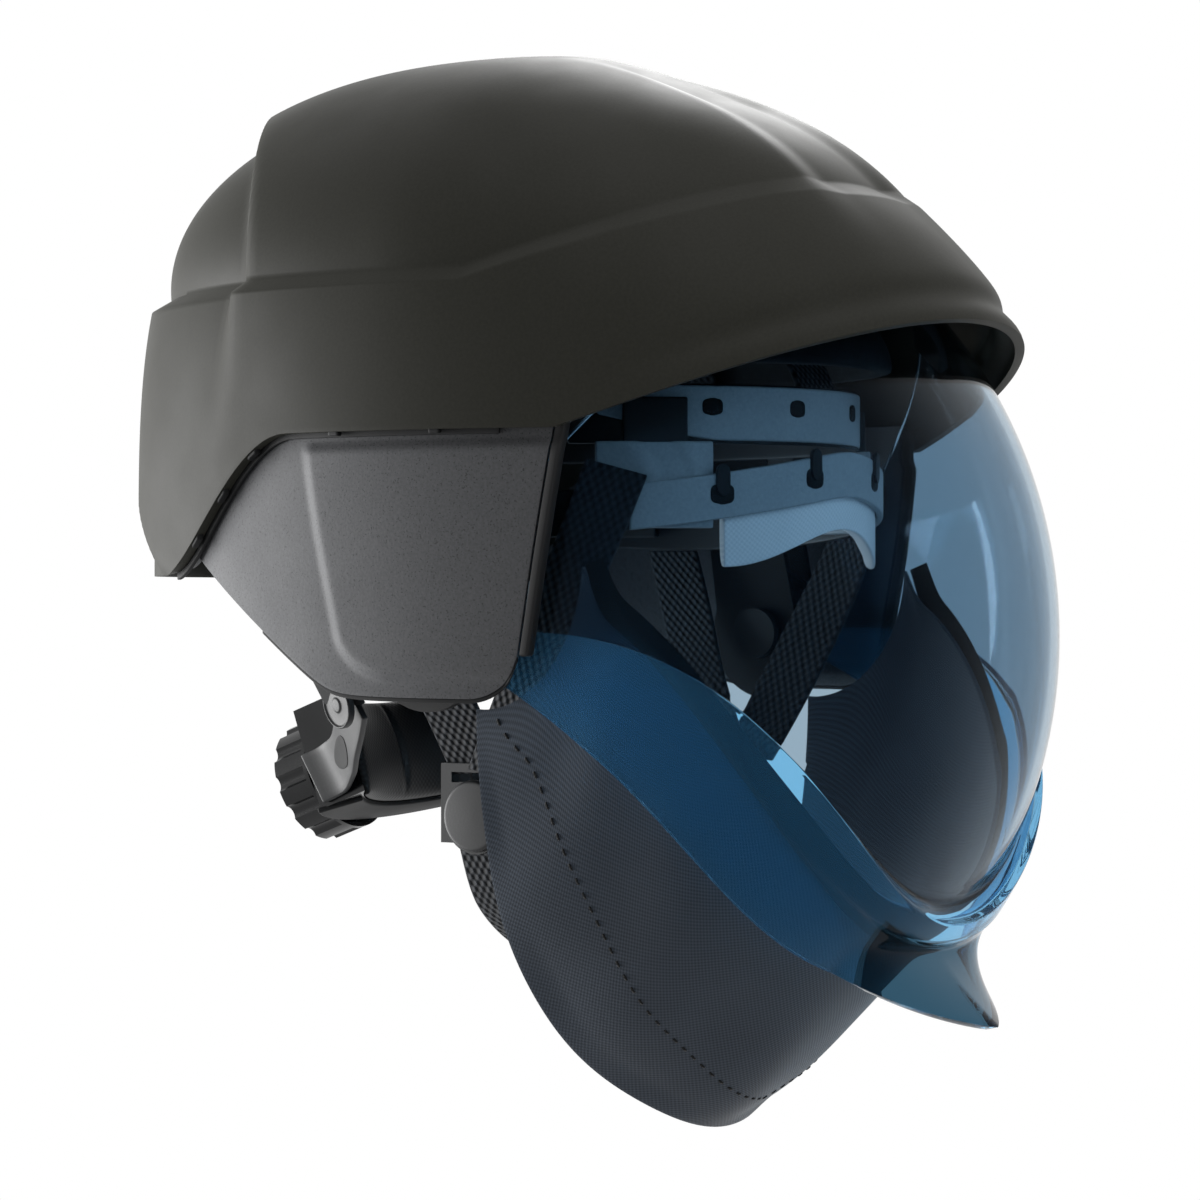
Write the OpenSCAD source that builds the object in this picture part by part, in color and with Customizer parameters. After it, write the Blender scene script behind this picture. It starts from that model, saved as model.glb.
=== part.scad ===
/* [Outer shell] */
// Room between the visor and the outside of the shell, at the sides
side_room = 11.8; // [11:0.2:14]
// Room between the headband and the outside of the shell, at the back
rear_room = 50; // [44:0.5:56]
// Reach of the brow peak in front of the headband
peak_reach = 39; // [36:0.5:46]
// Wall of the moulded shell
shell_wall = 3; // [2:0.25:4]
// Height of the crown above the headband
crown_z = 136; // [128:0.5:146]
// Height of the ledge round the sides and back
ledge_z = 61; // [56:0.5:66]
// Height of the ledge at the middle of the brow
brow_z = 88.7; // [84:0.1:94]
// Height of the lower edge at the middle of the peak
rim_front_z = 50; // [46:0.5:54]
// Height of the lower edge along the sides
rim_side_z = 18; // [14:0.5:22]
// Height of the lower edge at the nape
rim_rear_z = -22; // [-28:0.5:-16]
// Width of the ledge's step at the sides
ledge_step = 5; // [3:0.25:7]
// Width of the ledge's step at the back
rear_step = 6.4; // [3:0.2:8]
// Rise of the two raised crown panels at their front
panel_rise = 5; // [3:0.25:7]
// Extra rise of the crown panels at their back
panel_back_rise = 2.5; // [0:0.25:4]

/* [Visor] */
// Room between the headband and the visor's outer face, about the pivot
visor_room = 40; // [37:0.25:42]
// Wall of the visor
visor_wall = 2.5; // [2:0.25:3]
// Highest angle of the visor above the pivot's level
visor_top_deg = 50; // [44:1:54]
// Lowest angle of the visor below the pivot's level, at the chin
visor_low_deg = 43; // [40:1:46]
// Angle by which its lower edge climbs towards the sides
visor_climb_deg = 20; // [14:1:22]
// Radial height of the step moulded round the chin
chin_step = 6.3; // [3:0.1:7]
// Reach of the lip at the middle of the chin
chin_lip = 26.5; // [16:0.5:28]
// Angle by which the lip turns up
lip_turn_deg = 3.5; // [0:0.5:5]
// Place of the pivot axis in front of the head's centre
pivot_front = 10; // [6:0.5:14]
// Depth of the pivot axis below the headband
pivot_drop = 40; // [36:0.5:44]
// Radius of the pivot pin
pivot_pin_r = 5; // [4:0.25:6]

/* [Side covers] */
// Depth of the side covers below the headband
cover_drop = 57; // [52:0.5:62]
// Wall of the side covers
cover_wall = 2.5; // [2:0.25:3]
// Height of the panel raised on each side cover
cover_panel = 1.8; // [1:0.1:2]

/* [Chin cover] */
// Depth of the cloth's hem below the headband
cloth_drop = 184; // [170:1:195]
// Thickness of the cloth
cloth_t = 1.6; // [1.2:0.1:2]

/* [Headband] */
// Half width of the headband's outer face
band_half_w = 80; // [76:0.5:82]
// Half length of the headband's outer face
band_half_l = 100; // [96:0.5:103]
// Height of the headband
band_h = 13; // [10:0.5:16]
// Rise of the headband from its sides to its front
band_tilt = 15; // [8:1:18]
// Wall of the headband
band_wall = 2; // [1.6:0.1:2.4]
// Thickness of the brow pad
pad_t = 6; // [4:0.25:8]

/* [Size adjuster] */
// Radius of the adjuster's knob
knob_r = 19; // [16:0.5:22]
// Depth of the adjuster's knob
knob_h = 13; // [10:0.5:16]
// Radius of the knob's shaft
knob_shaft_r = 4; // [3:0.25:5]
// Depth of the adjuster below the headband
nape_drop = 80; // [74:0.5:86]
// Place of the adjuster behind the head's centre
nape_back = 84; // [80:0.5:88]
// Travel of the headband as the knob turns
size_travel = 12; // [8:0.5:14]

/* [Chin strap] */
// Width of the webbing
web_w = 18; // [14:0.5:20]
// Thickness of the webbing
web_t = 1.8; // [1.4:0.1:2.2]

/* [Hidden] */
$fn = 48;

// Gap between pieces that seat on each other
seat_gap = 0.3;
// Radial clearance of a running fit
fit_gap = 0.06;
// The pivot axis runs along X through this point
pivot_y = -pivot_front;
pivot_z = -pivot_drop;
// From the headband outwards at the pivot: adjuster tail, cradle plate, hub,
// visor, frame plate, side cover and shell
tail_t = 2;
tail_x = band_half_w + 0.4;
cradle_t = 2.2;
cradle_x = tail_x + tail_t + 0.6;
hub_t = 2.6;
hub_x = cradle_x + cradle_t + 3.4;
visor_flat = hub_x + hub_t + seat_gap + visor_wall;
frame_t = 2.2;
frame_x = visor_flat + 1.2;
visor_half_w = visor_flat + 6.2;
shell_half_w = visor_half_w + side_room;
// From the headband outwards along the head
visor_r = band_half_l + visor_room;
peak_front = band_half_l + peak_reach;
shell_rear = band_half_l + rear_room;

function mix(a, b, t) = a + (b - a) * t;
function clamp(t) = min(1, max(0, t));
function smooth(t) = let (c = clamp(t)) c * c * (3 - 2 * c);
function spow(v, e) = sign(v) * pow(abs(v), e);
function unit(v) = v / norm(v);
// Angle from the front, folded onto 0 to 180 degrees
function fold(a) = min(a, 360 - a);
function range(n) = [for (i = [0 : n]) i / n];

// A closed solid between two grids of rows of points. Rows climb and columns
// run anticlockwise seen from above, on the first grid, which faces outwards.
// Wrapped grids close on themselves, and capped ones close over an apex.
module grid_solid(outer, inner, wrap = false, capped = false) {
    m = len(outer);
    n = len(outer[0]);
    base = m * n;
    last = wrap ? n - 1 : n - 2;
    function id(i, j) = i * n + (j % n);
    outer_faces = [for (i = [0 : m - 2]) for (j = [0 : last]) each
        [[id(i, j), id(i + 1, j + 1), id(i, j + 1)], [id(i, j), id(i + 1, j), id(i + 1, j + 1)]]];
    inner_faces = [for (f = outer_faces) [f[0] + base, f[2] + base, f[1] + base]];
    foot = [for (j = [0 : last]) each
        [[id(0, j), id(0, j + 1), id(0, j) + base], [id(0, j + 1), id(0, j + 1) + base, id(0, j) + base]]];
    head = [for (j = [0 : last]) let (a = id(m - 1, j), b = id(m - 1, j + 1)) each
        [[a, a + base, b], [b, a + base, b + base]]];
    ends = [for (i = [0 : m - 2]) each
        [[id(i, 0), id(i, 0) + base, id(i + 1, 0)],
         [id(i + 1, 0), id(i, 0) + base, id(i + 1, 0) + base],
         [id(i, n - 1), id(i + 1, n - 1), id(i, n - 1) + base],
         [id(i + 1, n - 1), id(i + 1, n - 1) + base, id(i, n - 1) + base]]];
    apex = 2 * base;
    caps = [for (j = [0 : last]) let (a = id(m - 1, j), b = id(m - 1, j + 1)) each
        [[a, apex, b], [a + base, b + base, apex + 1]]];
    points = concat([for (r = outer) each r], [for (r = inner) each r]);
    tops = [for (g = [outer, inner]) let (r = g[m - 1]) [for (k = [0 : 2]) sum([for (p = r) p[k]]) / n]];
    polyhedron(
        points = capped ? concat(points, tops) : points,
        faces = concat(outer_faces, inner_faces, foot, capped ? caps : head, wrap ? [] : ends),
        convexity = 8
    );
}
function sum(v, i = 0) = i < len(v) ? v[i] + sum(v, i + 1) : 0;

// A strip of constant section: path points, with the direction of the width
// and of the outer face at each of them
module ribbon(path, width_dirs, face_dirs, w, t) {
    n = len(path);
    function corner(i, a, b) = path[i] + unit(width_dirs[i]) * a * w[i] / 2 + unit(face_dirs[i]) * b * t / 2;
    turned = cross(width_dirs[0], face_dirs[0]) * (path[1] - path[0]) > 0;
    ring = turned ? [[-1, 1], [1, 1], [1, -1], [-1, -1]] : [[-1, -1], [1, -1], [1, 1], [-1, 1]];
    points = [for (i = [0 : n - 1]) for (c = ring) corner(i, c[0], c[1])];
    sides = [for (i = [0 : n - 2]) for (k = [0 : 3])
        let (a = 4 * i + k, b = 4 * i + (k + 1) % 4) each [[a, b, b + 4], [a, b + 4, a + 4]]];
    e = 4 * (n - 1);
    polyhedron(points, concat(sides, [[0, 2, 1], [0, 3, 2], [e, e + 1, e + 2], [e, e + 2, e + 3]]), convexity = 6);
}
// A value of the curve through four points, for straps that run free
function spline(p, t) = let (
    n = len(p) - 1, s = clamp(t) * n, i = min(n - 1, floor(s)), u = s - i,
    a = p[max(0, i - 1)], b = p[i], c = p[i + 1], d = p[min(n, i + 2)]
) 0.5 * (2 * b + (c - a) * u + (2 * a - 5 * b + 4 * c - d) * u * u + (3 * b - a - 3 * c + d) * u * u * u);

// Outer shell
dome_half_w = shell_half_w - 13;
dome_rear = shell_rear - 9.2;
dome_front = peak_front - 26.2;
dome_top = crown_z - 5.5;
crown_back = 13.8;
side_corner_deg = 64;
function ledge_at(f) = ledge_z + (brow_z - ledge_z) * cos(min(90, f * 1.2));
function rim_at(f) = f < side_corner_deg
    ? rim_side_z + (rim_front_z - rim_side_z) * cos(f * 90 / side_corner_deg)
    : mix(rim_side_z, rim_rear_z, smooth((f - 100) / 27));
function dome_len(a) = cos(a) > 0 ? dome_front : dome_rear;
// Share of the panel's rise: none behind the chevron at the back, nor in the channel at the front
// The rise also eases off towards the brow
function panel_share(x, y) = smooth((121 - 0.7 * abs(x) - y) / 9)
    * (1 - (1 - smooth((abs(x) - 14) / 13)) * smooth((-y - 6) / 50))
    * (1 - 0.44 * smooth(-y / 60));
function dome_pt(a, el, inset) = let (
    c = cos(el), s = sin(el), h = dome_top - ledge_z,
    x = dome_half_w * c * sin(a), y = crown_back * s - dome_len(a) * c * cos(a), z = ledge_z + h * s,
    n = unit([sin(a) * c / dome_half_w, -cos(a) * c / dome_len(a), s / h])
) [x, y, z] + n * ((panel_rise + panel_back_rise * smooth(y / 80)) * panel_share(x, y) - inset);
function ledge_el(f) = asin(clamp((ledge_at(f) + 2 - ledge_z) / (dome_top - ledge_z)));
function skirt_pt(a, v, inset) = let (
    f = fold(a), out = [sin(a), -cos(a), 0],
    top = dome_pt(a, ledge_el(f), 0),
    step = mix(ledge_step * mix(0.6, 1, smooth((f - 20) / 60)), rear_step, smooth((f - 110) / 50))
        + panel_rise * (1 - panel_share(top[0], top[1])) * (f < 90 ? 1 : 0),
    high = top + out * step - [0, 0, 3.5],
    low = [shell_half_w * sin(a), -(cos(a) > 0 ? peak_front : shell_rear) * cos(a), rim_at(f)],
    bow = 1 - pow(1 - v, mix(1.34, mix(2.5, 4, smooth((f - 110) / 50)), smooth((f - 25) / 45))),
    z = mix(high[2], low[2], v),
    nape_line = mix(-18, 2, smooth((f - 124) / 26)),
    tuck = 5 * smooth((nape_line - z) / 14) * smooth((f - 122) / 6)
) [mix(high[0], low[0], bow), mix(high[1], low[1], bow), z] - out * (inset + tuck)
    - [0, 0, inset * 0.7 * pow(1 - v, 3)];
shell_cols = 72;
shell_deg = [for (j = [0 : shell_cols - 1]) j * 360 / shell_cols];
skirt_rows = [1, 0.86, 0.7, 0.5, 0.3, 0.14, 0.05, 0];
dome_rows = [0, 0.07, 0.16, 0.27, 0.38, 0.49, 0.6, 0.7, 0.8, 0.89, 0.96];
function shell_grid(inset) = concat(
    [for (v = skirt_rows) [for (a = shell_deg) skirt_pt(a, v, inset)]],
    [for (k = dome_rows) [for (a = shell_deg) dome_pt(a, mix(ledge_el(fold(a)), 90, k), inset)]]
);
module outer_shell() {
    color("#33332f")
        grid_solid(shell_grid(0), shell_grid(shell_wall), wrap = true, capped = true);
}

// Foam liner under the crown, clear of the visor's path
liner_z = 38;
liner_top = visor_r - pivot_drop - 20;
liner_half_w = band_half_w - 4;
liner_half_l = visor_r - 32;
liner_back = 8;
liner_t = 6;
module impact_liner() {
    function pt(a, el, d) = [(liner_half_w - d) * cos(el) * sin(a),
        liner_back - (liner_half_l - d) * cos(el) * cos(a),
        liner_z + (liner_top - liner_z - d) * sin(el)];
    function rows(d) = [for (el = [0, 14, 28, 42, 56, 70, 82]) [for (a = [0 : 10 : 350]) pt(a, el, d)]];
    color("#1b1d20") {
        grid_solid(rows(0), rows(liner_t), wrap = true, capped = true);
        liner_mount();
    }
}
// Block at the back that carries the liner on the shell
module liner_mount() {
    start = liner_back + liner_half_l - 10;
    translate([-15, start, liner_z + 4])
        cube([30, shell_rear - shell_wall - 4.1 - start, 12]);
}

// Side covers, tucked under the shell's lower edge
cover_half_w = shell_half_w - shell_wall - 0.1;
cover_front = peak_front - shell_wall - 0.1;
cover_rear = shell_rear - shell_wall - 0.1;
cover_tuck = 8;
cover_front_deg = 69.5;
cover_back_deg = 130;
cover_corner = 12;
// Where the foot starts to climb, and how far it climbs per degree
cover_bend_deg = 96;
cover_climb = 1.57;
// Where the raised panel ends, and the radius of its corner
cover_ridge_deg = 98.6;
panel_corner = 14;
function cover_foot(u) = let (
    f = mix(cover_front_deg, cover_back_deg, u),
    corner = clamp(1 - (f - cover_front_deg) / 6),
    beyond = f - cover_bend_deg
) min(rim_at(f) + 2, -cover_drop + cover_corner * (1 - sqrt(1 - corner * corner))
    + cover_climb * (beyond + sqrt(beyond * beyond + 9)) / 2);
function cover_pt(u, v, inset) = let (
    f0 = mix(cover_front_deg, cover_back_deg, u),
    z = mix(cover_foot(u), rim_at(f0) + cover_tuck, v),
    f = f0 - 0.075 * (z + 50) * (1 - u),
    behind = max(0, panel_corner - 1.85 * (cover_ridge_deg + 0.075 * z - f)),
    under = max(0, panel_corner - (z + cover_drop - 4)),
    panel = cover_panel * smooth((panel_corner - norm([behind, under])) / 4),
    lean = 3 * smooth((-z) / cover_drop),
    d = inset + lean - panel * smooth((rim_at(f0) - 2 - z) / 4) + cover_panel
) [(cover_half_w - d) * sin(f), -((f < 90 ? cover_front : cover_rear) - d) * cos(f), z];
module side_cover(s) {
    us = [0, 0.04, 0.1, 0.18, 0.26, 0.33, 0.37, 0.4, 0.42, 0.44, 0.46, 0.48, 0.5, 0.53, 0.58, 0.66, 0.74, 0.82, 0.9, 1];
    vs = [0, 0.04, 0.08, 0.12, 0.17, 0.24, 0.36, 0.5, 0.65, 0.8, 0.9, 1];
    color("#606163")
        mirror([s < 0 ? 1 : 0, 0, 0])
        grid_solid(
            [for (v = vs) [for (u = us) cover_pt(u, v, 0)]],
            [for (v = vs) [for (u = us) cover_pt(u, v, cover_wall)]]
        );
}
// Rubber strip along the front edge of each side cover
seal_w = 3.2;
module edge_seal(s) {
    vs = range(9);
    ahead = [0, -seal_w - seat_gap, 0];
    gap = [0, -seat_gap, 0];
    depth = [-3.6, 0, 0];
    color("#16181b")
        mirror([s < 0 ? 1 : 0, 0, 0])
        grid_solid(
            [for (v = vs) let (p = cover_pt(0, v, 0)) [p + ahead, p + gap]],
            [for (v = vs) let (p = cover_pt(0, v, 0)) [p + ahead + depth, p + gap + depth]]
        );
}

// Visor, a shell of revolution about the pivot axis
visor_bend = 2.22;
visor_power = 2 / visor_bend;
// The sides run out into flat discs around the pivot
function visor_x(al, w) = let (
    x = w * pow(abs(sin(al)), visor_power), flat = w - visor_half_w + visor_flat
) sign(al) * (x < flat - 1.5 ? x : flat - 1.5 * exp((flat - 1.5 - x) / 1.5));
function visor_rad(al, r) = r * pow(max(0, cos(al)), visor_power);
function step_deg(al) = -33 + 38 * pow(sin(al), 2);
function low_deg(al) = -visor_low_deg + visor_climb_deg * pow(sin(al), 4);
function about_pivot(x, r, ph) = [x, pivot_y - r * cos(ph), pivot_z + r * sin(ph)];
function visor_pt(al, ph, inset) = let (
    step = chin_step * smooth((step_deg(al) - ph) / 1.6 + 0.5) * smooth((76 - abs(al)) / 12),
    share = pow(clamp(1 - abs(al) / 19), 0.8) * pow(clamp((-ph - 38) / (visor_low_deg - 38)), 1.4),
    r = visor_rad(al, visor_r - inset) + step + chin_lip * share
) about_pivot(visor_x(al, visor_half_w - inset), r, ph + lip_turn_deg * share - (inset > 0 ? 1.1 * pow(share, 0.3) : 0));
visor_reach_deg = 87;
visor_cols = [for (k = [-22 : 22]) visor_reach_deg * k / 22];
function visor_rows(al) = let (st = step_deg(al)) concat(
    [for (k = [0, 0.25, 0.45, 0.62, 0.76, 0.88, 1]) mix(low_deg(al), st - 0.8, k)],
    [for (k = [0, 0.06, 0.14, 0.24, 0.36, 0.48, 0.6, 0.72, 0.86, 1]) mix(st + 0.8, visor_top_deg, k)]
);
function visor_grid(inset) = [for (i = [0 : 16]) [for (al = visor_cols) visor_pt(al, visor_rows(al)[i], inset)]];
module visor() {
    color("#2f6d94", 0.5)
        grid_solid(visor_grid(0), visor_grid(visor_wall));
}
// Rail bonded inside the visor's upper edge
rail_t = 3;
module visor_top_rail() {
    function row(ph, d) = [for (k = [-8 : 8]) let (al = visor_reach_deg * k / 22)
        about_pivot(visor_x(al, visor_half_w - d), visor_rad(al, visor_r - d), ph)];
    d = visor_wall + 3 * seat_gap;
    phs = [visor_top_deg - 7, visor_top_deg - 4, visor_top_deg - 1];
    color("#1c2733")
        grid_solid([for (ph = phs) row(ph, d)], [for (ph = phs) row(ph, d + rail_t)]);
}
// Hubs that carry the visor on the pins
hub_r = 21;
rivet_r = 2.5;
rivet_ring = 16;
rivet_degs = [-10, 14, 38];
module along_x(s, x) {
    translate([s * x, pivot_y, pivot_z])
        rotate([0, s * 90, 0])
        children();
}
module visor_hub(s) {
    color("#202429")
        difference() {
            along_x(s, hub_x) cylinder(r = hub_r, h = hub_t);
            along_x(s, hub_x - 1) cylinder(r = pivot_pin_r + fit_gap, h = hub_t + 2);
            for (ph = rivet_degs)
                translate([0, -rivet_ring * cos(ph), rivet_ring * sin(ph)])
                    along_x(s, hub_x - 1) cylinder(r = rivet_r + fit_gap, h = hub_t + 2);
        }
}
module visor_rivets() {
    color("#8f959b")
        for (s = [-1, 1], ph = rivet_degs)
            translate([0, -rivet_ring * cos(ph), rivet_ring * sin(ph)]) {
                along_x(s, hub_x - 1.2 - seat_gap) cylinder(r = rivet_r + 1.5, h = 1.2);
                along_x(s, hub_x - 1.2 - seat_gap) cylinder(r = rivet_r, h = visor_flat - hub_x + 1.2 + seat_gap);
            }
}

// Frame plates outside the visor and cradle plates inside it
module plate_blank(y0, z_top) {
    circle(r = 15);
    polygon([[-15, 0], [y0 - 12, z_top], [y0 + 12, z_top], [15, 0]]);
}
module side_plate(s, x, t, back, z_top) {
    translate([s > 0 ? x : -x - t, pivot_y, pivot_z])
        rotate([90, 0, 90])
        linear_extrude(t)
        difference() {
            plate_blank(back, z_top - pivot_z);
            circle(r = pivot_pin_r + fit_gap);
        }
}
boss_z = rim_side_z + 16;
boss_l = shell_half_w - shell_wall - 1 - frame_x;
module frame_plate(s) {
    color("#2a2d31") {
        side_plate(s, frame_x, frame_t, 12, boss_z);
        translate([s > 0 ? frame_x : -frame_x - boss_l, pivot_y + 4, boss_z - 6.5])
            cube([boss_l, 16, 6.5]);
    }
}
module cradle_plate(s) {
    color("#3b4249") {
        side_plate(s, cradle_x, cradle_t, 12, 29);
        for (lug = [[cradle_x + 1, 20, 10], [liner_half_w - 1, 29, liner_z - 29 - seat_gap]])
            translate([s > 0 ? cradle_half_w + seat_gap : -lug[0], pivot_y + 8, lug[1]])
                cube([lug[0] - cradle_half_w - seat_gap, 16, lug[2]]);
    }
}
module pivot_pin(s) {
    color("#9aa0a6") {
        along_x(s, cradle_x - 1) cylinder(r = pivot_pin_r, h = frame_x + frame_t - cradle_x + 1);
        along_x(s, cradle_x - 3 - seat_gap) cylinder(r = pivot_pin_r + 3, h = 3);
    }
}

// Points of a grid moved along the grid's outward normal
function moved(g, d) = let (m = len(g) - 1, n = len(g[0]) - 1) [for (i = [0 : m]) [for (j = [0 : n])
    let (up = g[min(m, i + 1)][j] - g[max(0, i - 1)][j], along = g[i][min(n, j + 1)] - g[i][max(0, j - 1)])
    g[i][j] + unit(cross(along, up)) * d]];

// Cloth under the chin, hanging from the inside of the visor
function visor_in(x, d) = (visor_r - d)
    * pow(max(0, 1 - pow(abs(x) / (visor_half_w - d), visor_bend)), 1 / visor_bend);
clip_t = 1.8;
cloth_in = visor_wall + 4 * seat_gap + clip_t;
hem_half_w = visor_flat - 5;
// The top edge climbs steeply towards the sides
cloth_side_deg = 73;
function cloth_top_x(t) = visor_x(cloth_side_deg * cos(t), visor_half_w - cloth_in);
function cloth_top_deg(t) = let (k = pow(sin(cloth_side_deg * cos(t)), 2)) -35 + 33 * k + 40 * pow(k, 5);
function hem_pt(t) = [hem_half_w * cos(t), -26 - 28 * pow(max(0, sin(t)), 5), -60 - (cloth_drop - 59) * sin(t)];
function cloth_pt(t, v, d = cloth_in) = let (
    x0 = cloth_top_x(t), h = hem_pt(t), dy = h[1] - pivot_y, dz = h[2] - pivot_z,
    r0 = visor_in(x0, d), r1 = norm([dy, dz]), ph0 = cloth_top_deg(t), ph1 = -acos(-dy / r1),
    x = mix(x0, h[0], v), ph = mix(ph0, ph1, v),
    free = smooth((-visor_low_deg - 1.5 - ph) / 30),
    r = mix(r0, r1, v), held = min(r, visor_in(x, d))
) about_pivot(x, mix(held, r + 1.5 * sin(180 * v), free), ph);
cloth_ts = [for (k = [0 : 40]) 180 - 4.5 * k];
cloth_vs = [1, 0.93, 0.84, 0.74, 0.64, 0.54, 0.44, 0.34, 0.25, 0.16, 0.08, 0];
cloth_grid = [for (v = cloth_vs) [for (t = cloth_ts) cloth_pt(t, v)]];
module chin_cloth() {
    color("#3d444b")
        grid_solid(cloth_grid, moved(cloth_grid, -cloth_t));
}
// Raised line of stitching, a little in from the hem
module cloth_seam() {
    function place(t) = let (q = 1 - abs(t - 90) / 90) 0.74 + 0.12 * pow(q, 3) + 0.13 * smooth((0.13 - q) / 0.15);
    line = [for (k = [0, 0.01]) [for (t = cloth_ts) cloth_pt(t, place(t) - k)]];
    color("#0c0d0f")
        grid_solid(moved(line, 0.9), moved(line, 0.3));
}
// Flexible strip between the cloth and the visor
module cloth_clip_rail() {
    d = visor_wall + 3 * seat_gap;
    function row(k, off) = [for (t = cloth_ts) let (x = cloth_top_x(t))
        about_pivot(x, visor_in(x, off), cloth_top_deg(t) - k)];
    color("#23282e")
        grid_solid([for (k = [5, 2.5, 0]) row(k, d)], [for (k = [5, 2.5, 0]) row(k, d + clip_t)]);
}

// Bands around the head: an arc of an oval, standing upright
band_back = 5;
function oval(a, w, l, z) = [w * sin(a), band_back - l * cos(a), z];
module band(a0, a1, w, l, z0, z1, t, n = 24) {
    function row(z, d) = [for (u = range(n)) oval(mix(a0, a1, u), w - d, l - d, z)];
    grid_solid([row(z0, 0), row(z1, 0)], [row(z0, t), row(z1, t)]);
}
cradle_half_w = band_half_w - 7;
cradle_half_l = band_half_l - 7;
cradle_low = 15;
cradle_top = 32;
module cradle_band() {
    color("#b9bdc0")
        band(-172, 172, cradle_half_w, cradle_half_l, cradle_low, cradle_top, band_wall, 48);
}
// The headband is level behind the temples and higher over the brow
function band_mid(a) = 8.4 - band_tilt * sqrt(pow(sin(a), 2) + 0.01);
module headband() {
    function row(h, d) = [for (u = range(40)) let (a = mix(-110, 110, u))
        oval(a, band_half_w - d, band_half_l - d, band_mid(a) + h)];
    rows = [-band_h / 2, band_h / 2];
    color("#c3c7ca")
        grid_solid([for (h = rows) row(h, 0)], [for (h = rows) row(h, band_wall)]);
}
module band_hangers() {
    d = band_wall + 0.6;
    color("#a4a9ad")
        for (h = [[105, 4], [70, 4], [45, 11]], s = [-1, 1])
            band(s * h[0] - h[1], s * h[0] + h[1], band_half_w - d, band_half_l - d, -9, 28, 3.6, 6);
}
module crown_strap(across, top) {
    ts = [for (k = [0 : 20]) 180 - 9 * k];
    reach = (across ? cradle_half_w : cradle_half_l) - band_wall;
    half = reach * sqrt(1 - pow(10 / (across ? cradle_half_l : cradle_half_w), 2)) - 1.2;
    foot = cradle_top - 10;
    path = [for (t = ts) let (c = half * cos(t), z = foot + (top - foot) * pow(max(0, sin(t)), 0.8))
        across ? [c, band_back, z] : [0, band_back + c, z]];
    out = [for (t = ts) across ? [cos(t), 0, sin(t) + 0.02] : [0, cos(t), sin(t) + 0.02]];
    color("#2c3136")
        ribbon(path, [for (t = ts) across ? [0, 1, 0] : [-1, 0, 0]], out, [for (t = ts) 20], 1.4);
}
strap_top = liner_top - liner_t - 10;
module crown_strap_long() {
    crown_strap(false, strap_top);
}
module crown_strap_cross() {
    crown_strap(true, strap_top + 2);
}
module brow_pad() {
    us = range(20);
    function foot(u) = -20 + 11 * pow(sin(180 * u), 2);
    function row(v, face) = [for (u = us) let (a = mix(-32, 32, u), puff = pad_t * pow(max(0, 1 - pow(2 * v - 1, 4)), 0.5))
        oval(a, band_half_w - band_wall - 0.4 - (face ? 1 + puff * (0.4 + 0.6 * sin(180 * u)) : 0),
            band_half_l - band_wall - 0.4 - (face ? 1 + puff * (0.4 + 0.6 * sin(180 * u)) : 0), mix(foot(u), band_mid(a) + band_h / 2 - 2, v))];
    vs = [0, 0.1, 0.25, 0.5, 0.75, 0.9, 1];
    color("#e6e8e8")
        grid_solid([for (v = vs) row(v, false)], [for (v = vs) row(v, true)]);
}

// Size adjuster at the nape
module adjuster_tail(s) {
    color("#b0b5b9")
        translate([s > 0 ? tail_x : -tail_x - tail_t, -12, -9])
        cube([tail_t, 73, 18]);
}
module nape_hanger(s) {
    path = [[tail_x - 1.3, 54, 8], [tail_x - 1.3, 54, -12], [tail_x - 5, 52, -30],
        [tail_x - 12, 48, -46], [tail_x - 18.4, 43, -60]];
    color("#9aa0a4")
        mirror([s < 0 ? 1 : 0, 0, 0])
        ribbon(path, [for (p = path) [0, 1, 0]], [for (k = [0, 0, -0.25, -0.35, -0.4]) [1, 0, k]],
            [14, 14, 13, 12, 14], 2);
}
arm_w = 15;
module nape_arm(s) {
    end_x = house_half_w + seat_gap + 1;
    path = [[tail_x - 20.6, 41, -58], [tail_x - 26.5, 47, -64], [tail_x - 33, 54, -70.5], [end_x + 5, 61, -76.5],
        [end_x, 69, -81], [end_x, 77, -84.5]];
    color("#84898d")
        mirror([s < 0 ? 1 : 0, 0, 0])
        ribbon(path, [for (p = path) [0, 0.5, 0.8]], [for (k = [0.5, 0.5, 0.45, 0.3, 0, 0]) [1, k, -0.5 * k]],
            [arm_w, arm_w, arm_w, arm_w, arm_w + 2, arm_w + 2], 2);
}
// The housing and knob lean back, about this frame
module at_nape() {
    translate([0, nape_back, -nape_drop])
        rotate([-20, 0, 0])
        children();
}
module along_y(y) {
    translate([0, y, 0])
        rotate([-90, 0, 0])
        children();
}
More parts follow.
